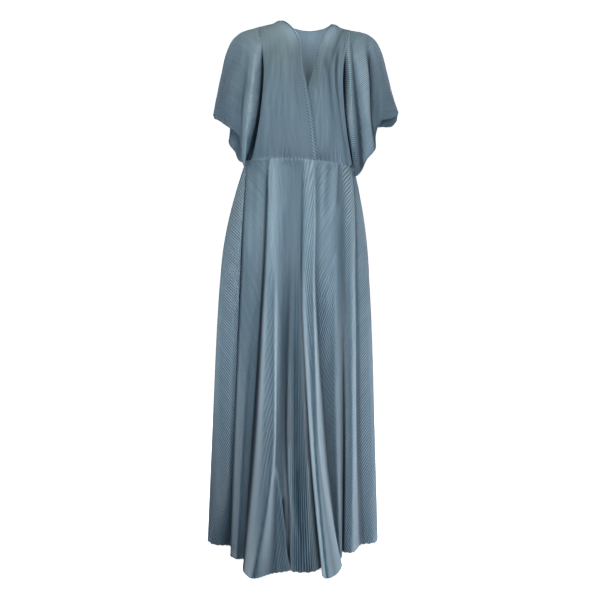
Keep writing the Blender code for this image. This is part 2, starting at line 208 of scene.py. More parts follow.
frontLeftFolds = [
    ("wrapEdge", 70, 0, -7, 39, 40, 16, 78, -12, 109, -34, 97, None),
    ("breast", 84, 0, -13, 58, 50, 42, 94, 30, 111, 10, 95, None),
    ("breastSide", 97, 0, -18, 74, 54, 58, 98, 64, 110, 52, 86, None),
    ("sideShade", 106, 0, -21, 80, 55, 64, 94, 78, 97, 90, 67, None),
    ("foldFace", 110, 0, -21.5, 88, 55, 76, 80, 90, 76, 108, 46, None),
    ("slitLip", 115, 0, -22.5, 99, 56, 90, 86, 98, 80, 119, 36, None),
    ("slit", 119, 0, -24, 103, 55, 91, 10, 98, 24, 121, 8, None),
    ("slitWall", 122, 0, -24.5, 107, 54, 110, 66, 111, 70, 133, 30, -404),
    ("firstCrest", 127, 0, -25.5, 114, 56, 117, 80, 121, 83, 131, 60, -436),
    ("firstValley", 136, 0, -27, 122, 53, 127, 56, 137, 58, 147, 50, -420),
    ("secondCrest", 148, 0, -29, 133, 54, 144, 73, 157, 70, 162, 46, -388),
    ("sleeveStep", 162, 0, -33, 152, 52, 163, 66, 168, 62, 177, 42, -371),
    ("stepFloor", 176, 0, -40, 168, 38, 170, 28, 173, 28, 188, 33, -350),
    ("sleeveInner", 190, 0, -53, 184, 38, 184, 43, 186, 42, 190, 36, -312),
    ("sleeveOuter", 205, 0, -80, 200, 31, 198, 46, 198, 48, 200, 41, -285),
    ("sleeveEdge", 222, 0, -142, 218, 21, 216, 36, 214, 39, 218, 34, -276),
    ("cuffEdge", 238, 0, -205, 237, 11, 236, 18, 236, 21, 237, 20, -269),
    ("cuffPoint", 253, 0, -250, 253, 3, 252, 6, 252, 7, 251, 8, -259),
]
backFolds = [
    ("rightCuffPoint", -260, 0, -258, -260, -4, -259, -7, -258, -8, -257, -9, -266),
    ("rightCuffEdge", -252, 0, -216, -250, -10, -249, -19, -248, -23, -247, -23, -264),
    ("rightSleeveEdge", -238, 0, -148, -236, -22, -235, -40, -234, -46, -232, -42, -268),
    ("rightSleeveOuter", -222, 0, -82, -219, -32, -220, -57, -220, -62, -214, -54, -290),
    ("rightSleeveMiddle", -206, 0, -50, -202, -42, -204, -68, -211, -70, -220, -50, -328),
    ("rightSleeveInner", -188, 0, -33, -182, -50, -184, -76, -194, -77, -203, -42, -352),
    ("rightWing", -168, 0, -24, -160, -56, -160, -85, -173, -86, -191, -30, -379),
    ("rightSide", -150, 0, -19, -140, -60, -138, -92, -147, -92, -167.6, -5, None),
    ("rightBlade", -124, 0, -12, -112, -64, -108, -99, -114, -98, -138, -64, None),
    ("rightBack", -98, 0, -6, -82, -66, -76, -103, -78, -106, -86, -94, None),
    ("rightNeck", -68, 0, 3, -48, -70, -38, -104, -39, -109, -46, -102, None),
    ("neckRightMiddle", -38, -36, -6, -24, -80, -19, -105, -21, -110, -30, -104, None),
    ("neckMiddle", 4, -47, -11, 2, -86, 0, -106, -6, -111, -20, -104, None),
    ("neckLeftMiddle", 44, -32, -10, 26, -80, 19, -105, 11, -110, -9, -104, None),
    ("leftNeck", 70, 0, -7, 48, -70, 38, -104, 28, -109, 4, -102, None),
    ("leftBack", 95, 0, -17, 80, -66, 72, -103, 64, -106, 44, -94, None),
    ("leftBlade", 122, 0, -24.5, 110, -64, 104, -99, 98, -98, 94, -65, None),
    ("leftSide", 148, 0, -29, 136, -60, 130, -92, 130, -90, 125, -5, None),
    ("leftWing", 166, 0, -34, 156, -56, 154, -84, 157, -82, 154, -26, -388),
    ("leftSleeveInner", 184, 0, -47, 176, -50, 174, -74, 177, -74, 175, -36, -350),
    ("leftSleeveMiddle", 200, 0, -69, 194, -42, 192, -64, 193, -66, 195, -46, -288),
    ("leftSleeveOuter", 215, 0, -115, 210, -30, 208, -52, 208, -56, 210, -50, -280),
    ("leftSleeveEdge", 230, 0, -175, 227, -20, 226, -36, 226, -41, 227, -38, -283),
    ("leftCuffEdge", 244, 0, -228, 243, -8, 242, -16, 241, -19, 241, -19, -281),
    ("leftCuffPoint", 253, 0, -250, 253, -3, 252, -6, 251, -7, 250, -8, -270),
]


def unit(vectors):
    return vectors / np.linalg.norm(vectors, axis=-1, keepdims=True)


def easedTo(distance, reach):
    # 0 at an edge, 1 once the reach is passed
    share = np.clip(distance / reach, 0, 1)
    return share * share * (3 - 2 * share)


def easedOver(place, span):
    # 0 up to a span's start, 1 once its reach is passed
    start, reach = span
    return easedTo(place - start, reach)


def grownFrom(share, distance, reach):
    # a share at an edge, the whole once the reach is passed
    return share + (1 - share) * easedTo(distance, reach)


def between(first, second, share):
    return first + (second - first) * share


def lengthsAlong(line):
    # how far along a line each of its points is
    return np.concatenate([[0], np.cumsum(np.linalg.norm(np.diff(line, axis=0), axis=1))])


def crestsAlong(count):
    # crests and valleys by turns
    return np.arange(count) % 2 - 0.5


def waistHeight(x):
    return waist["level"] + waist["tilt"] * (x - waist["centreX"])


def slopesOf(knots, values, steady=False):
    # a steady curve never swings past its values
    steps = np.diff(knots).reshape((-1,) + (1,) * (values.ndim - 1))
    rises = np.diff(values, axis=0) / steps
    slopes = np.empty_like(values)
    slopes[1:-1] = (rises[:-1] * steps[1:] + rises[1:] * steps[:-1]) / (steps[:-1] + steps[1:])
    if steady:
        product = rises[:-1] * rises[1:]
        total = np.where(product > 0, rises[:-1] + rises[1:], 1)
        slopes[1:-1] = np.where(product > 0, 2 * product / total, 0)
    slopes[0] = 1.5 * rises[0] - 0.5 * slopes[1]
    slopes[-1] = 1.5 * rises[-1] - 0.5 * slopes[-2]
    return slopes


def sharesAt(knots, at):
    # the knot before each place, and how much the two values and two slopes around it count there
    cell = np.clip(np.searchsorted(knots, at, side="right") - 1, 0, len(knots) - 2)
    step = knots[cell + 1] - knots[cell]
    along = (at - knots[cell]) / step
    past = along * along * (3 - 2 * along)
    startPull = along * (1 - along) ** 2 * step
    endPull = along * along * (along - 1) * step
    return cell, (1 - past, past), (startPull, endPull)


class Patch:
    # a smooth surface through fold points, read at any distance across and any share down
    def __init__(self, acrossKnots, downKnots, points, steady=False):
        self.acrossKnots = acrossKnots
        self.downKnots = downKnots
        acrossSlopes = slopesOf(acrossKnots, points.swapaxes(0, 1)).swapaxes(0, 1)
        self.grids = [
            (grid, slopesOf(downKnots, grid, steady)) for grid in (points, acrossSlopes)
        ]

    def at(self, across, down):
        column, *acrossShares = sharesAt(self.acrossKnots, across)
        row, valueShares, slopeShares = sharesAt(self.downKnots, down)
        found = 0
        for (values, slopes), shares in zip(self.grids, acrossShares):
            for place, share in enumerate(shares):
                line = 0
                for step in (0, 1):
                    line = line + values[row + step, column + place] * valueShares[step][..., None]
                    line = line + slopes[row + step, column + place] * slopeShares[step][..., None]
                found = found + line * share[..., None]
        return found


class SkirtForm:
    # the skirt all round, with distances round it measured from the left side seam
    def __init__(self, folds):
        lines = np.array([self.foldLine(fold) for fold in folds]).transpose(1, 0, 2)
        gaps = np.linalg.norm(np.roll(lines, -1, axis=1) - lines, axis=2).mean(axis=0)
        starts = np.concatenate([[0], np.cumsum(gaps)])
        self.length = starts[-1]
        self.starts = {fold[0]: start for fold, start in zip(folds, starts)}
        knots = np.concatenate([starts[-4:-1] - self.length, starts[:-1], starts[:3] + self.length])
        lines = np.concatenate([lines[:, -3:], lines, lines[:, :3]], axis=1)
        self.patch = Patch(knots, -skirtForm["levels"], lines, steady=True)

    def foldLine(self, fold):
        angle = math.radians(fold[1])
        x = waist["centreX"] + waist["halfWidth"] * math.sin(angle)
        front = waist["halfDepth"] * math.cos(angle)
        return [(x, front)] + [(fold[place] * mm, fold[place + 1] * mm) for place in (2, 4, 6)]

    def at(self, around, down):
        levels = skirtForm["levels"]
        height = levels[0] + (levels[-1] - levels[0]) * down
        hipShare = np.clip((height - levels[0]) / (levels[1] - levels[0]), 0, 1)
        swell = 1 + skirtForm["hipSwell"] * np.sin(math.pi * hipShare ** skirtForm["swellPower"])
        centre = skirtForm["swellCentre"]
        ring = centre + (self.patch.at(around, -height) - centre) * swell[..., None]
        height = height + (1 - down) * waist["tilt"] * (ring[..., 0] - waist["centreX"])
        return np.stack([ring[..., 0], -ring[..., 1], height], axis=-1)


class BodiceForm:
    # one bodice panel through its fold lines, from the shoulder seam to the waist or the sleeve hem
    def __init__(self, folds):
        lines = np.array([self.foldLine(fold) for fold in folds]).transpose(1, 0, 2)
        gaps = np.linalg.norm(np.diff(lines, axis=1), axis=2).mean(axis=0)
        self.knots = np.concatenate([[0], np.cumsum(gaps)])
        self.length = self.knots[-1]
        self.starts = {fold[0]: start for fold, start in zip(folds, self.knots)}
        self.plan = Patch(self.knots, bodiceForm["stations"], lines[..., :2])
        self.ends = lines[[0, -1], :, 2].T.copy()
        self.endSlopes = slopesOf(self.knots, self.ends)
        onWaist = [start for fold, start in zip(folds, self.knots) if fold[-1] is None]
        self.waistFrom, self.waistTo = onWaist[0], onWaist[-1]

    def foldLine(self, fold):
        name, topX, topFront, topZ, *rest = fold
        footZ = waistHeight(rest[-3] * mm) if rest[-1] is None else rest[-1] * mm
        plan = [(topX, topFront)] + [(rest[place], rest[place + 1]) for place in (0, 2, 4, 6)]
        fall = bodiceForm["stations"] ** bodiceForm["fall"]
        return [
            (x * mm, -front * mm, topZ * mm + (footZ - topZ * mm) * share)
            for (x, front), share in zip(plan, fall)
        ]

    def at(self, across, down):
        cell, (first, second), (firstPull, secondPull) = sharesAt(self.knots, across)
        ends = (
            self.ends[cell] * first[..., None]
            + self.ends[cell + 1] * second[..., None]
            + self.endSlopes[cell] * firstPull[..., None]
            + self.endSlopes[cell + 1] * secondPull[..., None]
        )
        height = ends[..., 0] + (ends[..., 1] - ends[..., 0]) * down ** bodiceForm["fall"]
        return np.concatenate([self.plan.at(across, down), height[..., None]], axis=-1)


def normalsOf(form, across, down):
    step = 1e-4
    sideways = form.at(across + step, down) - form.at(across - step, down)
    downward = form.at(across, np.minimum(down + step, 1)) - form.at(across, np.maximum(down - step, 0))
    return unit(np.cross(downward, sideways))


def readAt(starts, table, across):
    # a fold table's numbers, joined by straight lines from fold to fold
    places = sorted((start, table[name]) for name, start in starts.items() if name in table)
    return np.interp(across, *zip(*places))


def readPairAt(starts, table, across, lowerShare):
    upper, lower = (
        readAt(starts, {name: pair[place] for name, pair in table.items()}, across) for place in (0, 1)
    )
    return between(upper, lower, lowerShare)


# how far a cleft's shade takes to come in and to go out, as shares of its reach
cleftEase = {
    "before": 0.8,
    "behind": 0.3,
}


def cleftShade(starts, length, clefts, across, lowerShare):
    # each cleft's painted shade reaches over a share of the wall before it and of the wall behind it
    order = sorted(starts.values()) + [length]
    total = 0
    for name, (upper, lower, shareBefore, shareBehind) in clefts.items():
        place = order.index(starts[name])
        middle = order[place]
        before = shareBefore * (middle - order[place - 1])
        behind = shareBehind * (order[place + 1] - middle)
        begun = easedTo(across - middle + before, cleftEase["before"] * before)
        left = easedTo(middle + behind - across, cleftEase["behind"] * behind)
        total = total + begun * left * between(upper, lower, lowerShare)
    return total


class Hollows:
    # how far each part of a form lies behind the smoothed form around it, where the colour paints shade,
    # and how far it stands out, where the colour paints light
    def __init__(self, form, closed):
        self.across = np.linspace(0, form.length, hollowForm["samples"] + 1)
        self.down = np.linspace(0, 1, hollowForm["rows"])
        wide, deep = np.meshgrid(self.across, self.down)
        plan = form.at(wide, deep)[..., :2]
        step = form.length / hollowForm["samples"]
        reach = int(3 * hollowForm["width"] / step)
        kernel = np.exp(-((np.arange(-reach, reach + 1) * step / hollowForm["width"]) ** 2) / 2)
        mode = "wrap" if closed else "edge"
        ring = plan[:, :-1] if closed else plan
        padded = np.pad(ring, ((0, 0), (reach, reach), (0, 0)), mode=mode)
        kernel = kernel / kernel.sum()
        smooth = np.stack(
            [[np.convolve(row[:, axis], kernel, "valid") for axis in (0, 1)] for row in padded]
        ).transpose(0, 2, 1)
        if closed:
            smooth = np.concatenate([smooth, smooth[:, :1]], axis=1)
        slope = np.gradient(smooth, axis=1)
        outward = np.stack([slope[..., 1], -slope[..., 0]], axis=-1)
        outward = outward / (np.linalg.norm(outward, axis=-1, keepdims=True) + hair)
        fromAxis = smooth - np.array([waist["centreX"], 0])
        outward = outward * np.sign((outward * fromAxis).sum(axis=-1, keepdims=True))
        self.depth = ((smooth - plan) * outward).sum(axis=-1)

    def at(self, across, down):
        # the ends stay just inside the last cells
        column = np.clip(across / self.across[1], 0, len(self.across) - 1.001)
        row = np.clip(down / self.down[1], 0, len(self.down) - 1.001)
        left, above = column.astype(int), row.astype(int)
        column, row = column - left, row - above
        upper = self.depth[above, left] * (1 - column) + self.depth[above, left + 1] * column
        lower = self.depth[above + 1, left] * (1 - column) + self.depth[above + 1, left + 1] * column
        depth = upper * (1 - row) + lower * row
        return np.clip(depth / hollowForm["depth"], -1, 1)


def turnedInto(plane, normals, share):
    # normals laid into a seam's plane, by a share
    flat = unit(normals - (normals @ plane)[..., None] * plane)
    return normals * (1 - share[..., None]) + flat * share[..., None]


waistPlane = np.array([waist["tilt"], 0, -1]) / math.hypot(waist["tilt"], 1)
shoulderPlane = np.array([0.0, 1.0, 0.0])


# soft relief that the solids leave out. Puckers: x at the seam, width, height, length above the seam and
# below it, and lean, in mm
waistPuckers = [
    (-150, 7, 0.9, 16, 40, -4),
    (-136, 6, 1.2, 20, 55, -3),
    (-119, 8, 0.8, 14, 70, -3),
    (-100, 7, 1.0, 20, 46, -2),
    (-83, 6, 1.3, 24, 60, -2),
    (-69, 5, 1.9, 30, 44, 3),
    (-59, 4.5, 2.2, 26, 36, 5),
    (-49, 4, 1.8, 32, 50, 4),
    (-40, 5, 2.2, 22, 40, 3),
    (-29, 4, 1.6, 28, 60, 3),
    (-19, 4.5, 1.9, 18, 44, 2),
    (-8, 4, 1.4, 14, 70, 1),
    (4, 4.5, 2.0, 16, 56, 0),
    (15, 4, 1.7, 22, 80, -1),
    (27, 4.5, 2.3, 30, 50, -3),
    (37, 4, 2.6, 34, 44, -4),
    (47, 4.5, 2.2, 30, 62, -3),
    (58, 4, 2.6, 26, 48, -4),
    (68, 5, 2.1, 32, 70, -3),
    (79, 4, 1.8, 24, 52, -2),
    (90, 5, 1.6, 20, 66, 0),
    (103, 6, 1.2, 16, 60, 2),
    (117, 6, 1.0, 14, 44, 3),
]
puckerForm = {
    "core": 0.6,  # a pucker's crest, as a share of its width
    "rise": 1.5,
    "spreadBelow": 0.8,
    "spreadAbove": 0.5,
    "backShift": 3 * mm,
}

# long soft folds of the front skirt and the bodice fronts, which the back has in a mirror: x and height of
# the top and of the lower end, width, how far the fold stands out, and how late it bends, in mm
skirtSoftFolds = [
    (46, -404, 36, -600, 6, 3.6, 1),
    (61, -404, 43, -560, 5, -3.6, 1),
    (77, -404, 63, -580, 6, 3.4, 1),
    (86, -404, 80, -540, 4, -3.0, 1),
    (24, -404, 22, -560, 4, -1.8, 1),
    (-56, -404, -60, -560, 8, 2.2, 1),
    (-151, -430, -154, -690, 8, 2.4, 1),
    (-128, -420, -136, -640, 7, 1.6, 1),
    (-90, -404, -92, -520, 3, 1.6, 1),
    (-100, -404, -101, -490, 3, 1.4, 1),
    (-89, -1190, -44, -1430, 4, 3.0, 1),
    (-42, -1130, -6, -1445, 4, 3.4, 3),
    (-64, -1270, -40, -1470, 4, -6.0, 1.3),
    (-2, -1180, 2, -1460, 4, 2.4, 1),
    (-26, -1190, -14, -1460, 4, -2.4, 1.6),
    (58, -700, 52, -960, 7, 3.0, 1),
    (74, -640, 66, -900, 6, 2.4, 1),
]
bodiceSoftFolds = [
    (-66, -60, -96, -290, 7, 1.8, 1),
    (-58, -80, -80, -330, 4, 1.4, 1),
    (-50, -90, -64, -330, 6, 1.6, 1),
    (-38, -120, -40, -340, 6, 1.4, 1),
    (-84, -100, -120, -320, 7, 1.8, 1),
    (-100, -250, -118, -390, 6, 1.6, 1),
    (40, -60, 28, -300, 6, 1.6, 1),
    (46, -110, 84, -360, 6, -2.2, 1),
    (62, -90, 78, -330, 5, 1.8, 1),
    (48, -140, 56, -380, 5, 1.7, 1),
    (20, -200, 30, -390, 5, 1.8, 1),
    (36, -180, 44, -385, 4, 1.4, 1),
]
softFade = {
    "top": 0.12,  # shares of a fold's length
    "end": 0.3,
}


def softFoldsAt(points, folds):
    # soft ridges, and furrows where the rise is below zero
    x, height = points[..., 0], points[..., 2]
    total = np.zeros_like(x)
    for topX, topZ, endX, endZ, width, rise, bend in folds:
        along = np.clip((topZ * mm - height) / ((topZ - endZ) * mm), 0, 1)
        middle = topX * mm + (endX - topX) * mm * along ** bend
        fade = easedTo(along, softFade["top"]) * easedTo(1 - along, softFade["end"])
        total += rise * mm * np.exp(-(((x - middle) / (width * mm)) ** 2)) * fade
    return total


def gathersAt(points):
    # small even gathers drawn in by the waist seam, from -1 to 1
    x = points[..., 0]
    fromSeam = points[..., 2] - waistHeight(x)
    reach = np.where(fromSeam > 0, waist["gatherAbove"], waist["gatherBelow"])
    first, start, second = waist["gatherWaves"]
    drift, often = waist["gatherDrift"]
    uneven = waist["gatherMean"] + waist["gatherSwing"] * np.sin(x * first + start) * np.sin(x * second)
    wave = np.cos(2 * math.pi * (x / waist["gatherPitch"] + drift * np.sin(x * often)))
    return wave * uneven * np.exp(-((fromSeam / reach) ** 2))


def seamPaintedShadingAt(points):
    # painted light and shade on the gathers, and painted light along the seam, so that the seam is no
    # darker than the cloth around it
    fromSeam = points[..., 2] - waistHeight(points[..., 0])
    atSeam = np.exp(-((fromSeam / waist["seamWidth"]) ** 2))
    return waist["gatherPaintedShading"] * gathersAt(points) + waist["seamPaintedLight"] * atSeam


def puckerAt(points, side):
    # puckers and gathers around the waist seam. The back has the front's puckers in a mirror
    x = points[..., 0]
    seam = waistHeight(x)
    above = np.maximum(points[..., 2] - seam, 0)
    below = np.maximum(seam - points[..., 2], 0)
    if side == "back":
        x = -x + 2 * waist["centreX"] + puckerForm["backShift"]
    total = 0
    for middle, width, height, reachAbove, reachBelow, lean in waistPuckers:
        upward = above / (reachAbove * mm)
        downward = below / (reachBelow * mm)
        drift = lean * mm * (upward - downward)
        spread = 1 + puckerForm["spreadBelow"] * downward + puckerForm["spreadAbove"] * upward
        offset = (x - middle * mm - drift) / (width * mm * puckerForm["core"] * spread)
        profile = np.exp(-(offset ** 2)) * (1 - offset ** 2)
        fade = np.exp(-(upward ** 2) - downward ** 2)
        total = total + puckerForm["rise"] * height * mm * profile * fade
    return total + gathersAt(points) * waist["gatherHeight"]


def standAt(points, side, fromWaist, onWaist):
    # how far a sheet stands off its form: less at the waist seam, with what the seam gathers
    settled = np.where(onWaist, easedTo(fromWaist, cloth["standReach"]), 1)
    stand = between(cloth["seamStandOff"], cloth["standOff"], settled)
    puckers = puckerAt(points, side) * grownFrom(cloth["puckerShare"], fromWaist, cloth["puckerReach"])
    return stand + np.where(onWaist, puckers, 0)


def gridMesh(name, points, cloth2d, values, creaseRows, turned):
    # a grid placed point by point. Rows run downward, and with creaseRows the creases run along the rows
    rows, columns = points.shape[:2]
    layers = [points, cloth2d] + [np.broadcast_to(value, (rows, columns)) for value in values.values()]
    if turned:
        layers = [layer[:, ::-1] for layer in layers]
    work = bmesh.new()
    bmesh.ops.create_grid(work, x_segments=columns - 1, y_segments=rows - 1, size=0.5)
    mesh = bpy.data.meshes.new(name)
    work.to_mesh(mesh)
    work.free()
    # create_grid counts along x first and from the lowest row up
    ordered = [layer[::-1].reshape(rows * columns, -1) for layer in layers]
    mesh.vertices.foreach_set("co", ordered[0].astype(np.float32).ravel())
    corners = np.empty(len(mesh.loops), np.int32)
    mesh.loops.foreach_get("vertex_index", corners)
    pattern = mesh.uv_layers.new(name="cloth")
    pattern.data.foreach_set("uv", ordered[1][corners].astype(np.float32).ravel())
    for label, layer in zip(values, ordered[2:]):
        attribute = mesh.attributes.new(label, "FLOAT", "POINT")
        attribute.data.foreach_set("value", layer.astype(np.float32).ravel())
    ends = np.empty(2 * len(mesh.edges), np.int32)
    mesh.edges.foreach_get("vertices", ends)
    ends = ends.reshape(-1, 2)
    alongRow = ends[:, 0] // columns == ends[:, 1] // columns
    mesh.shade_smooth()
    creases = mesh.attributes.new("sharp_edge", "BOOLEAN", "EDGE")
    creases.data.foreach_set("value", alongRow == creaseRows)
    return mesh


def finishSheet(name, meshes, weld):
    # a piece of one or more grids, joined where their edges meet
    work = bmesh.new()
    for mesh in meshes:
        work.from_mesh(mesh)
        bpy.data.meshes.remove(mesh)
    bmesh.ops.remove_doubles(work, verts=work.verts, dist=weld)
    mesh = bpy.data.meshes.new(name)
    work.to_mesh(mesh)
    work.free()
    piece = bpy.data.objects.new(name, mesh)
    bpy.context.scene.collection.objects.link(piece)
    return piece


# distance from the middle of the cut and the pleats' pitch there, in mm
pleatPitches = [(0, 12.5), (280, 8.8), (450, 6.5), (700, 6.8), (950, 9), (1300, 10.5)]
skirtPleats = {
    "countedAt": 4001,  # places across the cut where the pitch is added up
    "rows": 150,
    "rowCrowding": 1.06,
    "cutHalfAngle": 72,
    "cutTopRadius": 0.30,
    "leastDepth": 0.2 * mm,
    "depth": 3.1 * mm,
    "waistReach": 12 * mm,
    "sideReach": 5 * mm,
    "lowerSpan": (0.2, 0.4),  # where down the skirt the lower boldness comes in, and over what share
    "backBoldness": 0.75,
    "backGrowth": 1.4,
    "backFoldShift": 20 * mm,
    "hemDepth": 3.6 * mm,
    "hemReach": 34 * mm,
    "hemBoldness": 2.0,
    "hemWave": 1.1 * mm,
    "hemWavePleats": 3,
    "cornerLift": 9 * mm,
    "cornerReach": 26 * mm,
}
# painted shade and painted light on the skirt
skirtPaintedShading = {
    "plainShade": 0.05,
    "waistShade": 0.25,
    "waistReach": 20 * mm,
    "shadeInHollows": 0.8,
    "lowerSpan": (0.1, 0.85),
    "backShade": 0.1,
    "hollowShade": 0.5,
    "crestLight": 0.12,
    "cleftAtWaist": 0.3,
    "cleftReach": 0.07,
    # painted light on the soft folds' ridges and painted shade in their furrows, per metre of rise
    "softFoldPaintedShading": 90,
}


def pleatLines(reach):
    # where the creases lie across the cut
    place = np.linspace(-reach, reach, skirtPleats["countedAt"])
    pitch = np.interp(np.abs(place), *(np.array(column) * mm for column in zip(*pleatPitches)))
    counted = np.concatenate([[0], np.cumsum(np.diff(place) / pitch[1:])])
    pleats = round(counted[-1])
    return np.interp(np.linspace(0, counted[-1], 2 * pleats + 1), counted, place)


# painted shade of some front folds, from -1 for painted light to 1 for painted shade, at the hip and at the
# hem
skirtShade = {
    "sideLeft": (-0.4, 0.8),
    "leftPanel": (-0.45, 0.6),
    "leftLip": (-0.5, 0.7),
    "secondLip": (-0.1, 0.42),
    "secondCrest": (0.26, 0.56),
    "secondPanel": (0.3, 0.6),
    "secondCleft": (0.12, 0.5),
    "bigLeftLip": (-0.2, 0.72),
    "bigLeftCrest": (-0.62, 0.48),
    "bigLeftFace": (-0.05, 0.44),
    "recessLeft": (0.4, 0.6),
    "recessCleft": (0.34, 0.66),
    "recessRight": (0.32, 0.64),
    "centreCleft": (0.3, 0.75),
    "bigRightLip": (0.0, 0.3),
    "bigRightEdge": (-0.3, 0.05),
    "bigRightCrest": (-0.4, 0.6),
    "bigRightCorner": (-0.6, -0.3),
    "bigRightCleft": (0.12, 0.38),
    "fourthCrest": (0.08, 0.38),
    "fourthCleft": (0.2, 0.78),
    "fifthLip": (-0.35, -0.05),
    "fifthCrest": (-0.6, -0.35),
    "fifthEdge": (-0.5, -0.7),
    "fifthCleft": (0.05, 0.2),
    "rightPanel": (-0.5, 0.02),
    "sideRight": (-0.4, -0.05),
}

# painted shade in the clefts: its strength at the hip and at the hem, and its reach before and behind
skirtCleftShade = {
    "leftCleft": (0.97, 0.88, 0.6, 1.3),
    "secondCleft": (0.85, 1.0, 0.4, 1.2),
    "bigLeftFace": (0.1, 0.35, 0.4, 0.3),
    "recessCleft": (0.0, 0.8, 0.35, 0.25),
    "centreCleft": (0.35, 0.97, 0.6, 1.08),
    "bigRightCleft": (0.25, 0.3, 0.5, 0.3),
    "fourthCleft": (0.15, 1.0, 1.1, 1.25),
    "fifthCleft": (0.4, 0.4, 0.5, 0.4),
}
for fold in ("Right", "Second", "Middle", "Third", "Fourth"):
    skirtCleftShade["back" + fold + "Cleft"] = (0.5, 0.7, 0.4, 0.4)


def skirtPaintedShadeAt(form, depths, around, down, side):
    # the skirt's painted shade: by fold, where it lies back, and in the clefts, with painted light where it
    # falls below zero
    lowerShare = easedOver(down, skirtPaintedShading["lowerSpan"])
    if side == "front":
        paintedShade = readPairAt(form.starts, skirtShade, around, lowerShare)
    else:
        paintedShade = skirtPaintedShading["backShade"]
    depth = depths.at(around, down)
    # painted shade where the skirt lies back, and painted light where it stands out
    paintedShade = paintedShade + skirtPaintedShading["hollowShade"] * np.maximum(depth, 0)
    paintedShade = paintedShade + skirtPaintedShading["crestLight"] * np.minimum(depth, 0)
    clefts = cleftShade(form.starts, form.length, skirtCleftShade, around, lowerShare)
    clefts = clefts * grownFrom(skirtPaintedShading["cleftAtWaist"], down, skirtPaintedShading["cleftReach"])
    return np.clip(paintedShade + (1 - paintedShade) * clefts, -1, cloth["darkest"])


def skirtCut(start, end):
    # half of the flared skirt as it is cut: a part of a ring, with all pleats level with its middle line.
    # Each point has its distance across the cut, its share down the skirt, its place along the pleats and
    # its distance round the skirt
    halfAngle = math.radians(skirtPleats["cutHalfAngle"])
    radius = skirtPleats["cutTopRadius"]
    length = skirtForm["levels"][0] - skirtForm["levels"][-1]
    across = pleatLines((radius + length) * math.sin(halfAngle))
    firstShare = np.clip((np.abs(across) / math.sin(halfAngle) - radius) / length, 0, 1)
    steps = np.linspace(0, 1, skirtPleats["rows"] + 1)[:, None] ** skirtPleats["rowCrowding"]
    down = firstShare + (1 - firstShare) * steps
    out = radius + down * length
    turn = np.arcsin(np.clip(across / out, -math.sin(halfAngle), math.sin(halfAngle)))
    gap = cloth["seamGap"]
    around = start + gap + (end - start - 2 * gap) * (turn / halfAngle + 1) / 2
    return np.broadcast_to(across, down.shape), down, out * np.cos(turn), around


def makeSkirtSheet(name, form, depths, start, end, side):
    across, down, alongPleat, around = skirtCut(start, end)
    length = skirtForm["levels"][0] - skirtForm["levels"][-1]
    points = form.at(around, down)
    fromWaist = down * length
    fromHem = (1 - down) * length
    fromSide = np.minimum(around - start, end - around)
    normals = normalsOf(form, around, down)
    normals = turnedInto(waistPlane, normals, 1 - easedTo(fromWaist, cloth["waistTurn"]))
    lowerShare = easedOver(down, skirtPleats["lowerSpan"])
    if side == "front":
        boldness = readPairAt(form.starts, skirtBoldness, around, lowerShare)
        facing = points
    else:
        boldness = skirtPleats["backBoldness"] * (1 + skirtPleats["backGrowth"] * lowerShare)
        facing = points * np.array([-1, 1, 1]) - np.array([skirtPleats["backFoldShift"], 0, 0])
    atHem = 1 - easedTo(fromHem, skirtPleats["hemReach"])
    depth = between(skirtPleats["leastDepth"], skirtPleats["depth"], np.minimum(boldness, 1))
    depth = between(depth, skirtPleats["hemDepth"], atHem)
    crest = np.broadcast_to(crestsAlong(down.shape[1]), down.shape)
    fade = easedTo(fromSide, skirtPleats["sideReach"])
    fade = fade * grownFrom(cloth["pleatShare"], fromWaist, skirtPleats["waistReach"])
    softly = softFoldsAt(facing, skirtSoftFolds) * easedTo(fromWaist, cloth["softReach"])
    stand = standAt(points, side, fromWaist, True) + softly
    points = points + normals * (stand + crest * depth * fade)[..., None]
    wave = np.cos(np.arange(down.shape[1]) * math.pi / skirtPleats["hemWavePleats"])
    points[..., 2] += skirtPleats["hemWave"] * atHem * wave
    atCorner = np.clip(1 - fromSide / skirtPleats["cornerReach"], 0, 1) ** 2
    points[..., 2] += skirtPleats["cornerLift"] * atHem * atCorner
    # painted shade and painted light, with the soft folds' and the gathers' painted light and shade, and
    # painted light along the seam
    paintedShade = skirtPaintedShadeAt(form, depths, around, down, side)
    paintedShade = paintedShade - skirtPaintedShading["softFoldPaintedShading"] * softly - seamPaintedShadingAt(points)
    paintedShade = np.clip(paintedShade, -1, cloth["darkest"])
    # painted light on the pleats' crests and painted shade in their creases
    shown = np.maximum(boldness, skirtPleats["hemBoldness"] * atHem)
    shade = crest * (skirtPaintedShading["plainShade"] + shown)
    shade = shade * grownFrom(skirtPaintedShading["waistShade"], fromWaist, skirtPaintedShading["waistReach"])
    shade = shade * (1 + skirtPaintedShading["shadeInHollows"] * np.maximum(paintedShade, 0))
    values = {"shade": shade, "hem": fromHem, "paintedShade": paintedShade}
    pattern = np.stack([across, alongPleat], axis=-1)
    mesh = gridMesh(name, points, pattern, values, False, False)
    return finishSheet(name, [mesh], cloth["weld"]), (points[-1], normals[-1])


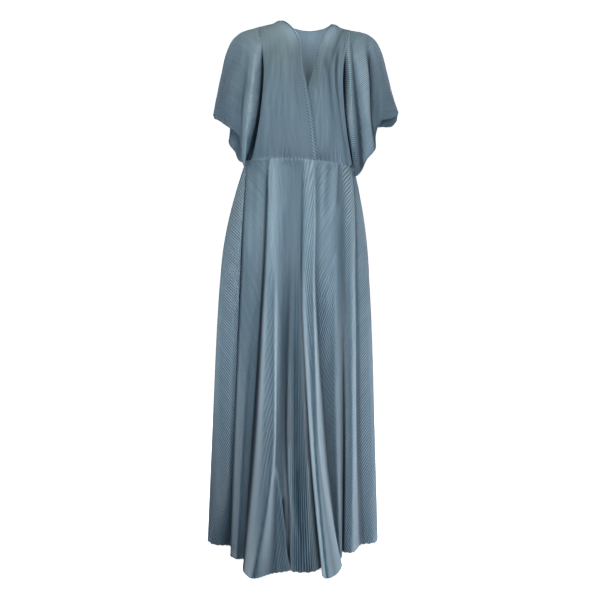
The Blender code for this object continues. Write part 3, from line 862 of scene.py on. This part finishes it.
# the bodice's painted shade by fold, with painted light below zero, above and at the waist, and the painted
# shade in its clefts from the shoulder to the foot, likewise
bodiceShade = {
    "wrapEdge": (0.28, 0.34),
    "breast": (0.3, 0.36),
    "breastMiddle": (0.34, 0.38),
    "breastSide": (0.3, 0.32),
    "gapEdge": (0.18, 0.1),
    "sideShade": (0.2, 0.05),
    "slitLip": (0.1, -0.1),
    "sleeveCrest": (-0.8, -0.3),
    "sleeveValley": (0.15, 0.3),
    "sleeveInner": (0.3, 0.4),
    "firstCrest": (-0.9, 0.2),
    "firstValley": (0.1, 0.4),
    "secondCrest": (-0.6, -0.3),
    "sleeveStep": (-0.8, -0.3),
    "stepFloor": (0.3, 0.3),
    "cuffPoint": (0.3, 0.25),
    "rightSide": (0.05, 0.05),
    "neckMiddle": (0.05, 0.05),
    "leftSide": (0.05, 0.05),
}
bodiceCleftShade = {
    "gapFloor": (0.97, 0.98, 0.6, 1.0),
    "foldFace": (0.5, 0.3, 0.6, 0.5),
    "slit": (0.98, 0.95, 0.8, 1.0),
    "firstValley": (0.4, 0.7, 0.5, 0.5),
    "stepFloor": (0.8, 0.5, 0.8, 0.4),
    "sleeveValley": (0.0, 0.35, 0.5, 0.5),
}

bodicePleats = {
    "sleevePleats": 76,
    "bodyPleats": 54,
    "backPleats": 96,
    "crossRows": 64,
    "seamSamples": 400,
    "leastDepth": 0.2 * mm,
    "depth": 1.9 * mm,
    "splitReach": 7 * mm,
    "shoulderWidth": 0.4 * mm,
    "waistDraw": 40 * mm,
    "waistDrawEnd": 0.95,  # share of the waist's half width where the back lets go of the waistline
    "waistDrawEase": 0.2,
}
# painted shade and painted light on the bodice
bodicePaintedShading = {
    "plainShade": 0.05,
    "foldSpan": (0.15, 0.3),  # where down the panel the folds' painted shade comes in, and over what share
    "lowerSpan": (0.65, 0.3),
    "cleftSpan": (0.24, 0.16),
    "lowerCleftSpan": (0.3, 0.7),
    "hollowShade": 0.6,
    "shoulderPaintedLight": 0.3,
    "shoulderSpan": (25 * mm, 90 * mm),  # down from the neck points, where the painted light goes out
    "neckPaintedLight": 0.5,
    "neckPoint": np.array([5, -40]) * mm,
    "neckSpan": (30 * mm, 110 * mm),
    "edgeShade": 0.55,
    "edgeWidth": 26 * mm,
    "edgeSpan": (40 * mm, 90 * mm),
    # painted light on the soft folds' ridges and painted shade in their furrows, per metre of rise
    "softFoldPaintedShading": 90,
}


class BodiceSheet:
    # one bodice panel, pleated and set out from its form. outward turns the normals away from the wearer,
    # and side is -1 on the front and 1 on the back
    def __init__(self, form, outward, side):
        self.form = form
        self.outward = outward
        self.side = side
        self.depths = Hollows(form, False)

    def isOnWaist(self, across):
        tolerance = cloth["edgeTolerance"]
        return (across >= self.form.waistFrom - tolerance) & (across <= self.form.waistTo + tolerance)

    def drawToWaist(self, points, fromFoot, onWaist):
        # the back's foot is drawn onto the skirt's own waistline
        fromMiddle = (points[..., 0] - waist["centreX"]) / waist["halfWidth"]
        waistline = waist["halfDepth"] * np.sqrt(np.clip(1 - fromMiddle ** 2, 0, 1))
        drawn = np.where(onWaist, 1 - easedTo(fromFoot, bodicePleats["waistDraw"]), 0)
        inside = bodicePleats["waistDrawEnd"] - np.abs(fromMiddle)
        drawn = drawn * easedTo(inside, bodicePleats["waistDrawEase"])
        points[..., 1] += (waistline - points[..., 1]) * drawn

    def paintedShadeAt(self, points, across, down, softly, onWaist):
        # the panel's painted shade: by fold, where it lies back, along the front's neck edge and in the
        # clefts, and painted light at the shoulder and inside the back neck
        form, height = self.form, points[..., 2]
        lowerShare = easedOver(down, bodicePaintedShading["lowerSpan"])
        paintedShade = readPairAt(form.starts, bodiceShade, across, lowerShare)
        paintedShade = paintedShade + bodicePaintedShading["hollowShade"] * np.maximum(self.depths.at(across, down), 0)
        paintedShade = paintedShade * easedOver(down, bodicePaintedShading["foldSpan"])
        # painted light near the shoulder
        nearShoulder = 1 - easedOver(-height, bodicePaintedShading["shoulderSpan"])
        paintedShade = paintedShade - bodicePaintedShading["shoulderPaintedLight"] * nearShoulder
        # painted light and shade on the seam's gathers and on the soft folds
        paintedShade = paintedShade - np.where(onWaist, seamPaintedShadingAt(points), 0) - bodicePaintedShading["softFoldPaintedShading"] * softly
        # painted light inside the back neck, and painted shade along the front's neck edge
        if self.side > 0:
            toNeck = np.linalg.norm(points[..., ::2] - bodicePaintedShading["neckPoint"], axis=-1)
            nearNeck = 1 - easedOver(toNeck, bodicePaintedShading["neckSpan"])
            paintedShade = paintedShade - bodicePaintedShading["neckPaintedLight"] * nearNeck
        else:
            nearEdge = 1 - easedTo(across, bodicePaintedShading["edgeWidth"])
            nearTop = 1 - easedOver(-height, bodicePaintedShading["edgeSpan"])
            paintedShade = paintedShade + bodicePaintedShading["edgeShade"] * nearEdge * nearTop
        # painted shade in the clefts
        clefts = {name: numbers for name, numbers in bodiceCleftShade.items() if name in form.starts}
        lowerCleft = easedOver(down, bodicePaintedShading["lowerCleftSpan"])
        shaded = cleftShade(form.starts, form.length, clefts, across, lowerCleft)
        shaded = shaded * easedOver(down, bodicePaintedShading["cleftSpan"])
        return np.clip(paintedShade + (1 - paintedShade) * shaded, -1, cloth["darkest"])

    def place(self, across, down, crest, fromSplit):
        # the sheet's points, and the values that its colour reads
        form = self.form
        points = form.at(across, down)
        top = form.at(across, np.zeros_like(down))
        foot = form.at(across, np.ones_like(down))
        fromTop = np.linalg.norm(points - top, axis=-1)
        fromFoot = np.linalg.norm(points - foot, axis=-1)
        onShoulder = np.abs(top[..., 1]) < bodicePleats["shoulderWidth"]
        onWaist = self.isOnWaist(across)
        normals = normalsOf(form, across, down) * self.outward
        atTop = np.where(onShoulder, 1 - easedTo(fromTop, cloth["shoulderTurn"]), 0)
        normals = turnedInto(shoulderPlane, normals, atTop)
        atFoot = np.where(onWaist, 1 - easedTo(fromFoot, cloth["waistTurn"]), 0)
        normals = unit(turnedInto(waistPlane, normals, atFoot))
        if self.side > 0:
            self.drawToWaist(points, fromFoot, onWaist)
        atShoulder = np.where(onShoulder, 1 - easedTo(fromTop, cloth["seamReach"]), 0)
        atWaist = np.where(onWaist, 1 - easedTo(fromFoot, cloth["seamReach"]), 0)
        points[..., 1] += self.side * cloth["seamGap"] * atShoulder
        points[..., 2] += 2 * cloth["seamGap"] * atWaist
        facing = points if self.side < 0 else points * np.array([-1, 1, 1])
        softly = softFoldsAt(facing, bodiceSoftFolds) * easedTo(fromFoot, cloth["softReach"])
        stand = standAt(points, "back" if self.side > 0 else "front", fromFoot, onWaist) + softly
        besideSplit = easedTo(fromSplit, bodicePleats["splitReach"])
        boldness = readAt(form.starts, bodiceBoldness, across)
        depth = between(bodicePleats["leastDepth"], bodicePleats["depth"], boldness)
        nearWaist = np.where(onWaist, grownFrom(cloth["pleatShare"], fromFoot, cloth["standReach"]), 1)
        pleat = crest * depth * besideSplit * nearWaist
        # painted light on the pleats' crests and painted shade in their creases
        shade = crest * (bodicePaintedShading["plainShade"] + boldness) * besideSplit
        paintedShade = self.paintedShadeAt(points, across, down, softly, onWaist)
        return points + normals * (stand + pleat)[..., None], {"shade": shade, "paintedShade": paintedShade}

    def body(self, name, first, last, pleats, splits):
        # the part between the neck or the wrap edge and the sleeves, with its pleats upright
        rows = 2 * bodicePleats["sleevePleats"]
        across = np.linspace(first, last, 2 * pleats + 1)
        height = np.linspace(0, 1, rows + 1)[:, None]
        down = np.broadcast_to(height ** (1 / bodiceForm["fall"]), (rows + 1, len(across)))
        wide = np.broadcast_to(across, down.shape)
        crest = np.broadcast_to(crestsAlong(len(across)), down.shape)
        fromSplit = np.min([np.abs(wide - split) for split in splits], axis=0)
        points, values = self.place(wide, down, crest, fromSplit)
        top = self.form.at(across, np.zeros(len(across)))
        foot = self.form.at(across, np.ones(len(across)))
        lengthDown = np.linalg.norm(top - foot, axis=-1)
        pattern = np.stack([wide, -height * lengthDown], axis=-1)
        values["hem"] = np.where(self.isOnWaist(wide), 1.0, (1 - height) * lengthDown)
        return gridMesh(name, points, pattern, values, False, self.outward < 0)

    def sleeve(self, name, split, tip):
        # pleats leave the overarm seam square, run level with the sleeve's hem and end at the split line
        line = np.linspace(split, tip, bodicePleats["seamSamples"])
        arc = lengthsAlong(self.form.at(line, np.zeros_like(line)))
        cuffEnds = self.form.at(np.array([tip, tip]), np.array([0.0, 1.0]))
        hemArc = arc[-1] + np.linalg.norm(cuffEnds[1] - cuffEnds[0])
        starts = np.linspace(0, hemArc, 2 * bodicePleats["sleevePleats"] + 1)
        fromTop = np.interp(starts, arc, line)[:, None]
        steps = np.linspace(0, 1, bodicePleats["crossRows"] + 1)
        wide = fromTop + (split - fromTop) * steps
        rising = (line, arc) if tip > split else (line[::-1], arc[::-1])
        passed = np.interp(wide.ravel(), *rising).reshape(wide.shape)
        height = np.clip((starts[:, None] - passed) / (hemArc - passed), 0, 1)
        height[:, -1] = starts / hemArc
        down = height ** (1 / bodiceForm["fall"])
        crest = np.broadcast_to(crestsAlong(len(starts))[:, None], wide.shape)
        fromSplit = np.abs(wide - split)
        points, values = self.place(wide, down, crest, fromSplit)
        pattern = np.stack([np.broadcast_to(starts[:, None], wide.shape), fromSplit], axis=-1)
        values["hem"] = (hemArc - starts)[:, None]
        seenLeftToRight = (tip < split) == (self.side < 0)
        return gridMesh(name, points, pattern, values, True, not seenLeftToRight)


def makeFront(name, folds, outward, split):
    sheet = BodiceSheet(BodiceForm(folds), outward, -1)
    splitAt = sheet.form.starts[split]
    body = sheet.body(name + "Body", 0, splitAt, bodicePleats["bodyPleats"], [splitAt])
    sleeve = sheet.sleeve(name + "Sleeve", splitAt, sheet.form.length)
    return finishSheet(name, [body, sleeve], cloth["weld"]), sheet


def makeBack(name, folds, splits):
    sheet = BodiceSheet(BodiceForm(folds), -1, 1)
    first, last = (sheet.form.starts[split] for split in splits)
    body = sheet.body(name + "Body", first, last, bodicePleats["backPleats"], [first, last])
    right = sheet.sleeve(name + "RightSleeve", first, 0)
    left = sheet.sleeve(name + "LeftSleeve", last, sheet.form.length)
    return finishSheet(name, [body, right, left], cloth["weld"]), sheet


# each trim's tone is its painted shade, and the strands' shade is painted light and shade along them
trimForm = {
    "sides": 10,
    "endLength": 1.5 * mm,
    "sink": 0.4,  # how much of its half height a trim stands above the middle of the pleats
    "weld": 0.005 * mm,
    "bandPoints": 260,
    "bandWidth": 10.5 * mm,
    "bandNeckWidth": 3.5 * mm,
    "bandWidens": 0.62,
    "bandHeight": 3.4 * mm,
    "bandInset": 3.5 * mm,
    "bandStrand": 0.55 * mm,
    "bandPaintedShade": 0.22,
    "strandPitch": 9 * mm,
    "strandShade": 0.45,
    "edgeRadius": 1.1 * mm,
    "neckPoints": 200,
    "neckFlatness": 1.6,
    "neckEnd": 0.62,  # share down the left front where its edge goes under the right one
    "neckStrand": 0.3 * mm,
    "neckPaintedShade": 0.3,
    "backNeckPoints": 120,
    "backNeckDown": 0.004,
    "backNeckPaintedShade": 0.2,
    "sleevePoints": 160,
    "sleeveStart": 2 * mm,
    "sleevePaintedShade": 0.5,
    "hemRadius": 0.7 * mm,
    "hemPaintedShade": 0.3,
}


def trimPiece(name, centre, sideways, outward, halfWidth, halfHeight, strand, tone):
    # a closed tube of oval section along a line, drawn in to a point at both ends. Its strands lie askew,
    # with painted light and shade along them, and tone is the whole tube's painted shade
    turn = np.linspace(0, 2 * math.pi, trimForm["sides"] + 1)
    along = lengthsAlong(centre)
    taper = np.sqrt(np.clip(np.minimum(along, along[-1] - along) / trimForm["endLength"], 0, 1))
    wide = (halfWidth * taper)[:, None] * np.cos(turn)
    twist = np.cos(2 * math.pi * (along[:, None] - wide) / trimForm["strandPitch"])
    high = (taper * halfHeight)[:, None] * np.sin(turn)
    high = high + strand * twist * np.maximum(np.sin(turn), 0) * taper[:, None]
    points = centre[:, None] + sideways[:, None] * wide[..., None] + outward[:, None] * high[..., None]
    pattern = np.stack([wide + high, np.broadcast_to(along[:, None], wide.shape)], axis=-1)
    shade = trimForm["strandShade"] * twist * (strand > 0)
    # tone is the trim's painted shade
    values = {"shade": shade, "hem": np.ones((1, 1)), "paintedShade": np.full((1, 1), tone)}
    return finishSheet(name, [gridMesh(name, points, pattern, values, None, False)], trimForm["weld"])


def edgeTrim(name, sheet, across, down, halfWidth, halfHeight, tone, strand=0, inset=0):
    # a trim that follows a line on a bodice panel, with its tone as its painted shade
    form = sheet.form
    step = 0.2 * mm
    points = form.at(across, down)
    sideways = unit(form.at(across + step, down) - form.at(across - step, down))
    outward = unit(normalsOf(form, across, down) * sheet.outward)
    centre = points + sideways * inset + outward * (cloth["standOff"] + trimForm["sink"] * halfHeight)
    flat = unit(np.cross(outward, unit(np.gradient(centre, axis=0))))
    # the flat way always points to the viewer's right
    flat = flat * np.sign(flat[:, :1] + hair)
    width = np.broadcast_to(halfWidth, across.shape)
    return trimPiece(name, centre, flat, outward, width, halfHeight, strand, tone)


def sleeveHemTrim(name, sheet, fromCuff=False):
    # from the waist seam to the cuff, or from the cuff to the waist seam where the panel starts at a cuff
    form, radius = sheet.form, trimForm["edgeRadius"]
    ends = (form.waistTo + trimForm["sleeveStart"], form.length)
    if fromCuff:
        ends = (0, form.waistFrom - trimForm["sleeveStart"])
    across = np.linspace(*ends, trimForm["sleevePoints"])
    return edgeTrim(name, sheet, across, np.ones_like(across), radius, radius, trimForm["sleevePaintedShade"])


def skirtHemTrim(name, hem):
    # a fine rolled edge that follows the ends of the pleats
    centre, outward = hem
    upright = np.broadcast_to(np.array([0.0, 0.0, 1.0]), centre.shape)
    radius = trimForm["hemRadius"]
    width = np.full(len(centre), radius)
    return trimPiece(name, centre, upright, outward, width, radius, 0, trimForm["hemPaintedShade"])


skirt = SkirtForm(skirtFolds)
sideRight = skirt.starts["sideRight"]
skirtDepths = Hollows(skirt, True)
skirtFront, frontHem = makeSkirtSheet("skirtFront", skirt, skirtDepths, 0, sideRight, "front")
skirtBack, backHem = makeSkirtSheet("skirtBack", skirt, skirtDepths, sideRight, skirt.length, "back")
print("skirt pleated")
bodiceRight, sheetRight = makeFront("bodiceFrontRight", frontRightFolds, -1, "gapFloor")
bodiceLeft, sheetLeft = makeFront("bodiceFrontLeft", frontLeftFolds, 1, "slit")
bodiceBack, sheetBack = makeBack("bodiceBack", backFolds, ("rightSide", "leftSide"))
print("bodice pleated")

wrapDown = np.linspace(0, 1, trimForm["bandPoints"]) ** (1 / bodiceForm["fall"])
widened = easedTo(wrapDown, trimForm["bandWidens"])
wrapBand = edgeTrim(
    "wrapBand",
    sheetRight,
    np.zeros_like(wrapDown),
    wrapDown,
    between(trimForm["bandNeckWidth"], trimForm["bandWidth"], widened) / 2,
    trimForm["bandHeight"] / 2,
    trimForm["bandPaintedShade"],
    strand=trimForm["bandStrand"],
    inset=trimForm["bandInset"],
)
neckDown = np.linspace(0, trimForm["neckEnd"], trimForm["neckPoints"])
neckEdge = edgeTrim(
    "neckEdge",
    sheetLeft,
    np.zeros_like(neckDown),
    neckDown,
    trimForm["neckFlatness"] * trimForm["edgeRadius"],
    trimForm["edgeRadius"],
    trimForm["neckPaintedShade"],
    strand=trimForm["neckStrand"],
)
neckEnds = [sheetBack.form.starts[fold] for fold in ("rightNeck", "leftNeck")]
backNeck = np.linspace(*neckEnds, trimForm["backNeckPoints"])
backNeckEdge = edgeTrim(
    "backNeckEdge",
    sheetBack,
    backNeck,
    np.full_like(backNeck, trimForm["backNeckDown"]),
    trimForm["edgeRadius"],
    trimForm["edgeRadius"],
    trimForm["backNeckPaintedShade"],
)
rightSleeveHem = sleeveHemTrim("rightSleeveHem", sheetRight)
leftSleeveHem = sleeveHemTrim("leftSleeveHem", sheetLeft)
backRightSleeveHem = sleeveHemTrim("backRightSleeveHem", sheetBack, fromCuff=True)
backLeftSleeveHem = sleeveHemTrim("backLeftSleeveHem", sheetBack)
frontSkirtHem = skirtHemTrim("frontSkirtHem", frontHem)
backSkirtHem = skirtHemTrim("backSkirtHem", backHem)
print("trims made")


class Wire:
    # a shader socket that sums can be written with
    def __init__(self, board, socket):
        self.board = board
        self.socket = socket

    def __add__(self, other):
        return self.board.node("ShaderNodeMath", {"operation": "ADD"}, {0: self, 1: other})

    def __mul__(self, other):
        return self.board.node("ShaderNodeMath", {"operation": "MULTIPLY"}, {0: self, 1: other})

    __radd__ = __add__
    __rmul__ = __mul__


class Board:
    # a material's nodes
    def __init__(self, material):
        material.use_nodes = True
        self.tree = material.node_tree
        self.shader = self.tree.nodes["Principled BSDF"]

    def node(self, kind, settings, sockets, output=0):
        made = self.tree.nodes.new(kind)
        for name, value in settings.items():
            setattr(made, name, value)
        for name, value in sockets.items():
            self.feed(made.inputs[name], value)
        return Wire(self, made.outputs[output])

    def feed(self, target, value):
        if isinstance(value, Wire):
            self.tree.links.new(value.socket, target)
        else:
            target.default_value = value

    def sine(self, wire):
        return self.node("ShaderNodeMath", {"operation": "SINE"}, {0: wire})

    def attribute(self, name):
        return self.node("ShaderNodeAttribute", {"attribute_name": name}, {}, "Fac")

    def noise(self, place, scale, detail):
        sockets = {"Vector": place, "Scale": scale, "Detail": detail}
        return self.node("ShaderNodeTexNoise", {}, sockets, "Fac")

    def mixed(self, factor, first, second):
        return self.node("ShaderNodeMix", {"data_type": "RGBA"}, {0: factor, 6: first, 7: second}, 2)


satin = {
    "deep": (0.016, 0.060, 0.102, 1),
    "pale": (0.272, 0.366, 0.440, 1),
    # the near-black colour of the painted shade
    "paintedShade": (0.001, 0.010, 0.024, 1),
    "tone": 0.12,
    "dyeScale": 5.0,
    "dyeDetail": 2.0,
    "dyeContrast": 0.16,
    "streaksAcross": 130.0,
    "streaksAlong": 5.0,
    "streakDetail": 3.0,
    "streakContrast": 0.30,
    # how strongly the pleats' painted light and shade show
    "pleatPaintedShading": 0.68,
    # how much painted light there is where the painted shade falls below zero
    "paintedLight": 0.30,
    "roughness": 0.44,
    "roughnessStreak": 0.16,
    "specular": 0.2,
    "sheen": 0.03,
    "sheenRoughness": 0.45,
    "sheenTint": (0.62, 0.72, 0.90, 1),
    "threadsPerMetre": 2600,
    "floatShare": 0.2,  # threads along the cloth for each one across
    "weaveHeight": 0.5,
    "stitchAbove": 3.2 * mm,
    "stitchWidth": 0.35 * mm,
    "stitchTurns": 2400.0,
    "stitchHeight": 3.0,
    "bumpStrength": 0.6,
    "bumpDistance": 0.03 * mm,
}


def satinMaterial(name):
    material = bpy.data.materials.new(name)
    board = Board(material)
    pattern = board.node("ShaderNodeUVMap", {"uv_map": "cloth"}, {})
    place = board.node("ShaderNodeTexCoord", {}, {}, "Object")
    paintedShade = board.attribute("paintedShade")
    acrossCloth = board.node("ShaderNodeSeparateXYZ", {}, {0: pattern})
    alongCloth = Wire(board, acrossCloth.socket.node.outputs[1])
    # broad unevenness of the dye, and streaks that follow the pleats
    broad = board.noise(place, satin["dyeScale"], satin["dyeDetail"])
    stretched = {0: acrossCloth * satin["streaksAcross"], 1: alongCloth * satin["streaksAlong"]}
    streak = board.noise(board.node("ShaderNodeCombineXYZ", {}, stretched), 1.0, satin["streakDetail"])
    tone = broad * satin["dyeContrast"] + streak * satin["streakContrast"] + satin["tone"]
    # painted light on the pleats' crests and painted shade in their creases, painted shade in the hollows
    # and clefts, and painted light where the painted shade falls below zero
    paintedLightShare = board.node("ShaderNodeMath", {"operation": "MAXIMUM"}, {0: -1.0 * paintedShade, 1: 0.0})
    tone = tone + board.attribute("shade") * satin["pleatPaintedShading"] + paintedLightShare * satin["paintedLight"]
    dyed = board.mixed(tone, satin["deep"], satin["pale"])
    board.feed(board.shader.inputs["Base Color"], board.mixed(paintedShade, dyed, satin["paintedShade"]))
    board.feed(board.shader.inputs["Roughness"], streak * satin["roughnessStreak"] + satin["roughness"])
    # satin threads: long floats along the cloth, and a fine line of stitches above each hem
    threads = acrossCloth * (satin["threadsPerMetre"] * 2 * math.pi)
    floats = alongCloth * (satin["threadsPerMetre"] * 2 * math.pi * satin["floatShare"])
    weave = board.sine(threads) * board.sine(floats + board.sine(threads))
    band = {0: board.attribute("hem"), 1: satin["stitchAbove"], 2: satin["stitchWidth"]}
    slanted = acrossCloth * satin["stitchTurns"] + alongCloth * satin["stitchTurns"]
    stitches = board.node("ShaderNodeMath", {"operation": "COMPARE"}, band) * board.sine(slanted)
    height = weave * satin["weaveHeight"] + stitches * satin["stitchHeight"]
    bump = {"Strength": satin["bumpStrength"], "Distance": satin["bumpDistance"], "Height": height}
    board.feed(board.shader.inputs["Normal"], board.node("ShaderNodeBump", {}, bump, "Normal"))
    board.shader.inputs["Sheen Weight"].default_value = satin["sheen"]
    board.shader.inputs["Sheen Roughness"].default_value = satin["sheenRoughness"]
    board.shader.inputs["Sheen Tint"].default_value = satin["sheenTint"]
    board.shader.inputs["Specular IOR Level"].default_value = satin["specular"]
    return material


satinCloth = satinMaterial("pleatedSatin")
backTrims = [backNeckEdge, backRightSleeveHem, backLeftSleeveHem]

# sheet, node, the cut's length and width in metres, its area in square metres, and the trims sewn to it
sheets = [
    (skirtFront, "skirt_front", (1.95, 1.06), 1.30, [frontSkirtHem]),
    (skirtBack, "skirt_back", (1.95, 1.06), 1.30, [backSkirtHem]),
    (bodiceRight, "bodice_front_right", (0.42, 0.42), 0.125, [wrapBand, rightSleeveHem]),
    (bodiceLeft, "bodice_front_left", (0.42, 0.42), 0.125, [neckEdge, leftSleeveHem]),
    (bodiceBack, "bodice_back", (0.80, 0.42), 0.25, backTrims),
]
for sheet, node, flat, area, trims in sheets:
    for piece in [sheet] + trims:
        piece.data.materials.append(satinCloth)
        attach(piece, "root")
        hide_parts(node)
        node + "_cloth"
print("cloth finished")

# the floor and the walls glow white in view. They light nothing and cast no shadow
studio = {
    "grey": (0.9, 0.9, 0.9, 1),
    "roughness": 0.9,
    "glow": (1, 1, 1, 1),
    "glowStrength": 1.0,
    "floorHeight": -1.462,
    "floorSize": 40,
    "wallSize": 60,
    "wallAway": 19,
    "wallHeight": 10,
    "ambient": (0.80, 0.90, 1.0, 1),
    "ambientStrength": 0.14,
}
quarterTurn = math.pi / 2


def stagePlane(name, size, place, turn):
    bpy.ops.mesh.primitive_plane_add(size=size, location=place, rotation=turn)
    plane = bpy.context.object
    plane.name = name
    material = bpy.data.materials.new(name)
    board = Board(material)
    board.shader.inputs["Base Color"].default_value = studio["grey"]
    board.shader.inputs["Roughness"].default_value = studio["roughness"]
    board.shader.inputs["Emission Color"].default_value = studio["glow"]
    board.shader.inputs["Emission Strength"].default_value = studio["glowStrength"]
    plane.data.materials.append(material)
    plane.visible_diffuse = False
    plane.visible_glossy = False
    plane.visible_shadow = False


stagePlane("floor", studio["floorSize"], (0, 0, studio["floorHeight"]), (0, 0, 0))
for name, x, y, turn in (
    ("backdrop", 0, 1, 0),
    ("frontBackdrop", 0, -1, 0),
    ("leftBackdrop", -1, 0, quarterTurn),
    ("rightBackdrop", 1, 0, quarterTurn),
):
    place = (x * studio["wallAway"], y * studio["wallAway"], studio["wallHeight"])
    stagePlane(name, studio["wallSize"], place, (quarterTurn, 0, turn))

world = bpy.data.worlds.new("studio")
world.use_nodes = True
background = world.node_tree.nodes["Background"]
background.inputs["Color"].default_value = studio["ambient"]
background.inputs["Strength"].default_value = studio["ambientStrength"]
bpy.context.scene.world = world


def softLight(name, size, place, target, power, colour):
    lamp = bpy.data.lights.new(name, "AREA")
    lamp.shape = "RECTANGLE"
    lamp.size, lamp.size_y = size
    lamp.energy = power
    lamp.color = colour
    light = bpy.data.objects.new(name, lamp)
    bpy.context.scene.collection.objects.link(light)
    light.location = place
    light.visible_camera = False
    direction = np.array(target) - np.array(place)
    level = math.hypot(direction[0], direction[1])
    light.rotation_euler = (math.atan2(level, -direction[2]), 0, math.atan2(-direction[0], direction[1]))


# name, width and height, place, what it faces, watts and colour
lamps = [
    ("front", (0.9, 0.9), (-0.04, -1.75, -0.72), (0.02, 0, -0.74), 34, (1.0, 0.985, 0.955)),
    ("low", (1.6, 0.5), (0.2, -2.1, -1.75), (0, 0, -1.3), 4, (0.72, 0.74, 1.0)),
    ("back", (1.6, 1.8), (0.3, 2.3, 0.1), (0, 0, -0.7), 58, (0.97, 0.97, 1.0)),
    ("backLeft", (1.2, 1.8), (-2.4, 1.0, -0.4), (0, 0.1, -0.8), 16, (0.95, 0.96, 1.0)),
    ("backRight", (1.2, 1.8), (2.4, 1.0, -0.4), (0, 0.1, -0.8), 20, (0.95, 0.96, 1.0)),
    ("rightSide", (1.0, 2.0), (2.3, -1.4, -0.7), (0, 0, -0.9), 24, (0.93, 0.90, 1.0)),
    ("leftSide", (1.0, 1.4), (-2.3, -1.4, -0.5), (0, 0, -0.6), 16, (0.90, 0.95, 1.0)),
    ("overhead", (1.8, 1.0), (0, -1.0, 1.5), (0, 0.02, -0.1), 31, (1.0, 0.84, 0.57)),
    ("neck", (0.06, 0.05), (0.004, -0.045, -0.004), (0.004, 0.10, -0.06), 0.10, (0.92, 0.96, 1.0)),
]
for lamp in lamps:
    softLight(*lamp)

view = {
    "lens": 50,
    "sensor": 36,
    "place": (-0.0195, -2.322, -0.7731),
}
lens = bpy.data.cameras.new("view")
lens.lens = view["lens"]
lens.sensor_width = view["sensor"]
camera = bpy.data.objects.new("view", lens)
camera.location = view["place"]
camera.rotation_euler = (quarterTurn, 0, 0)
bpy.context.scene.collection.objects.link(camera)
bpy.context.scene.camera = camera
bpy.context.scene.view_settings.view_transform = "Standard"
print("stage lit")
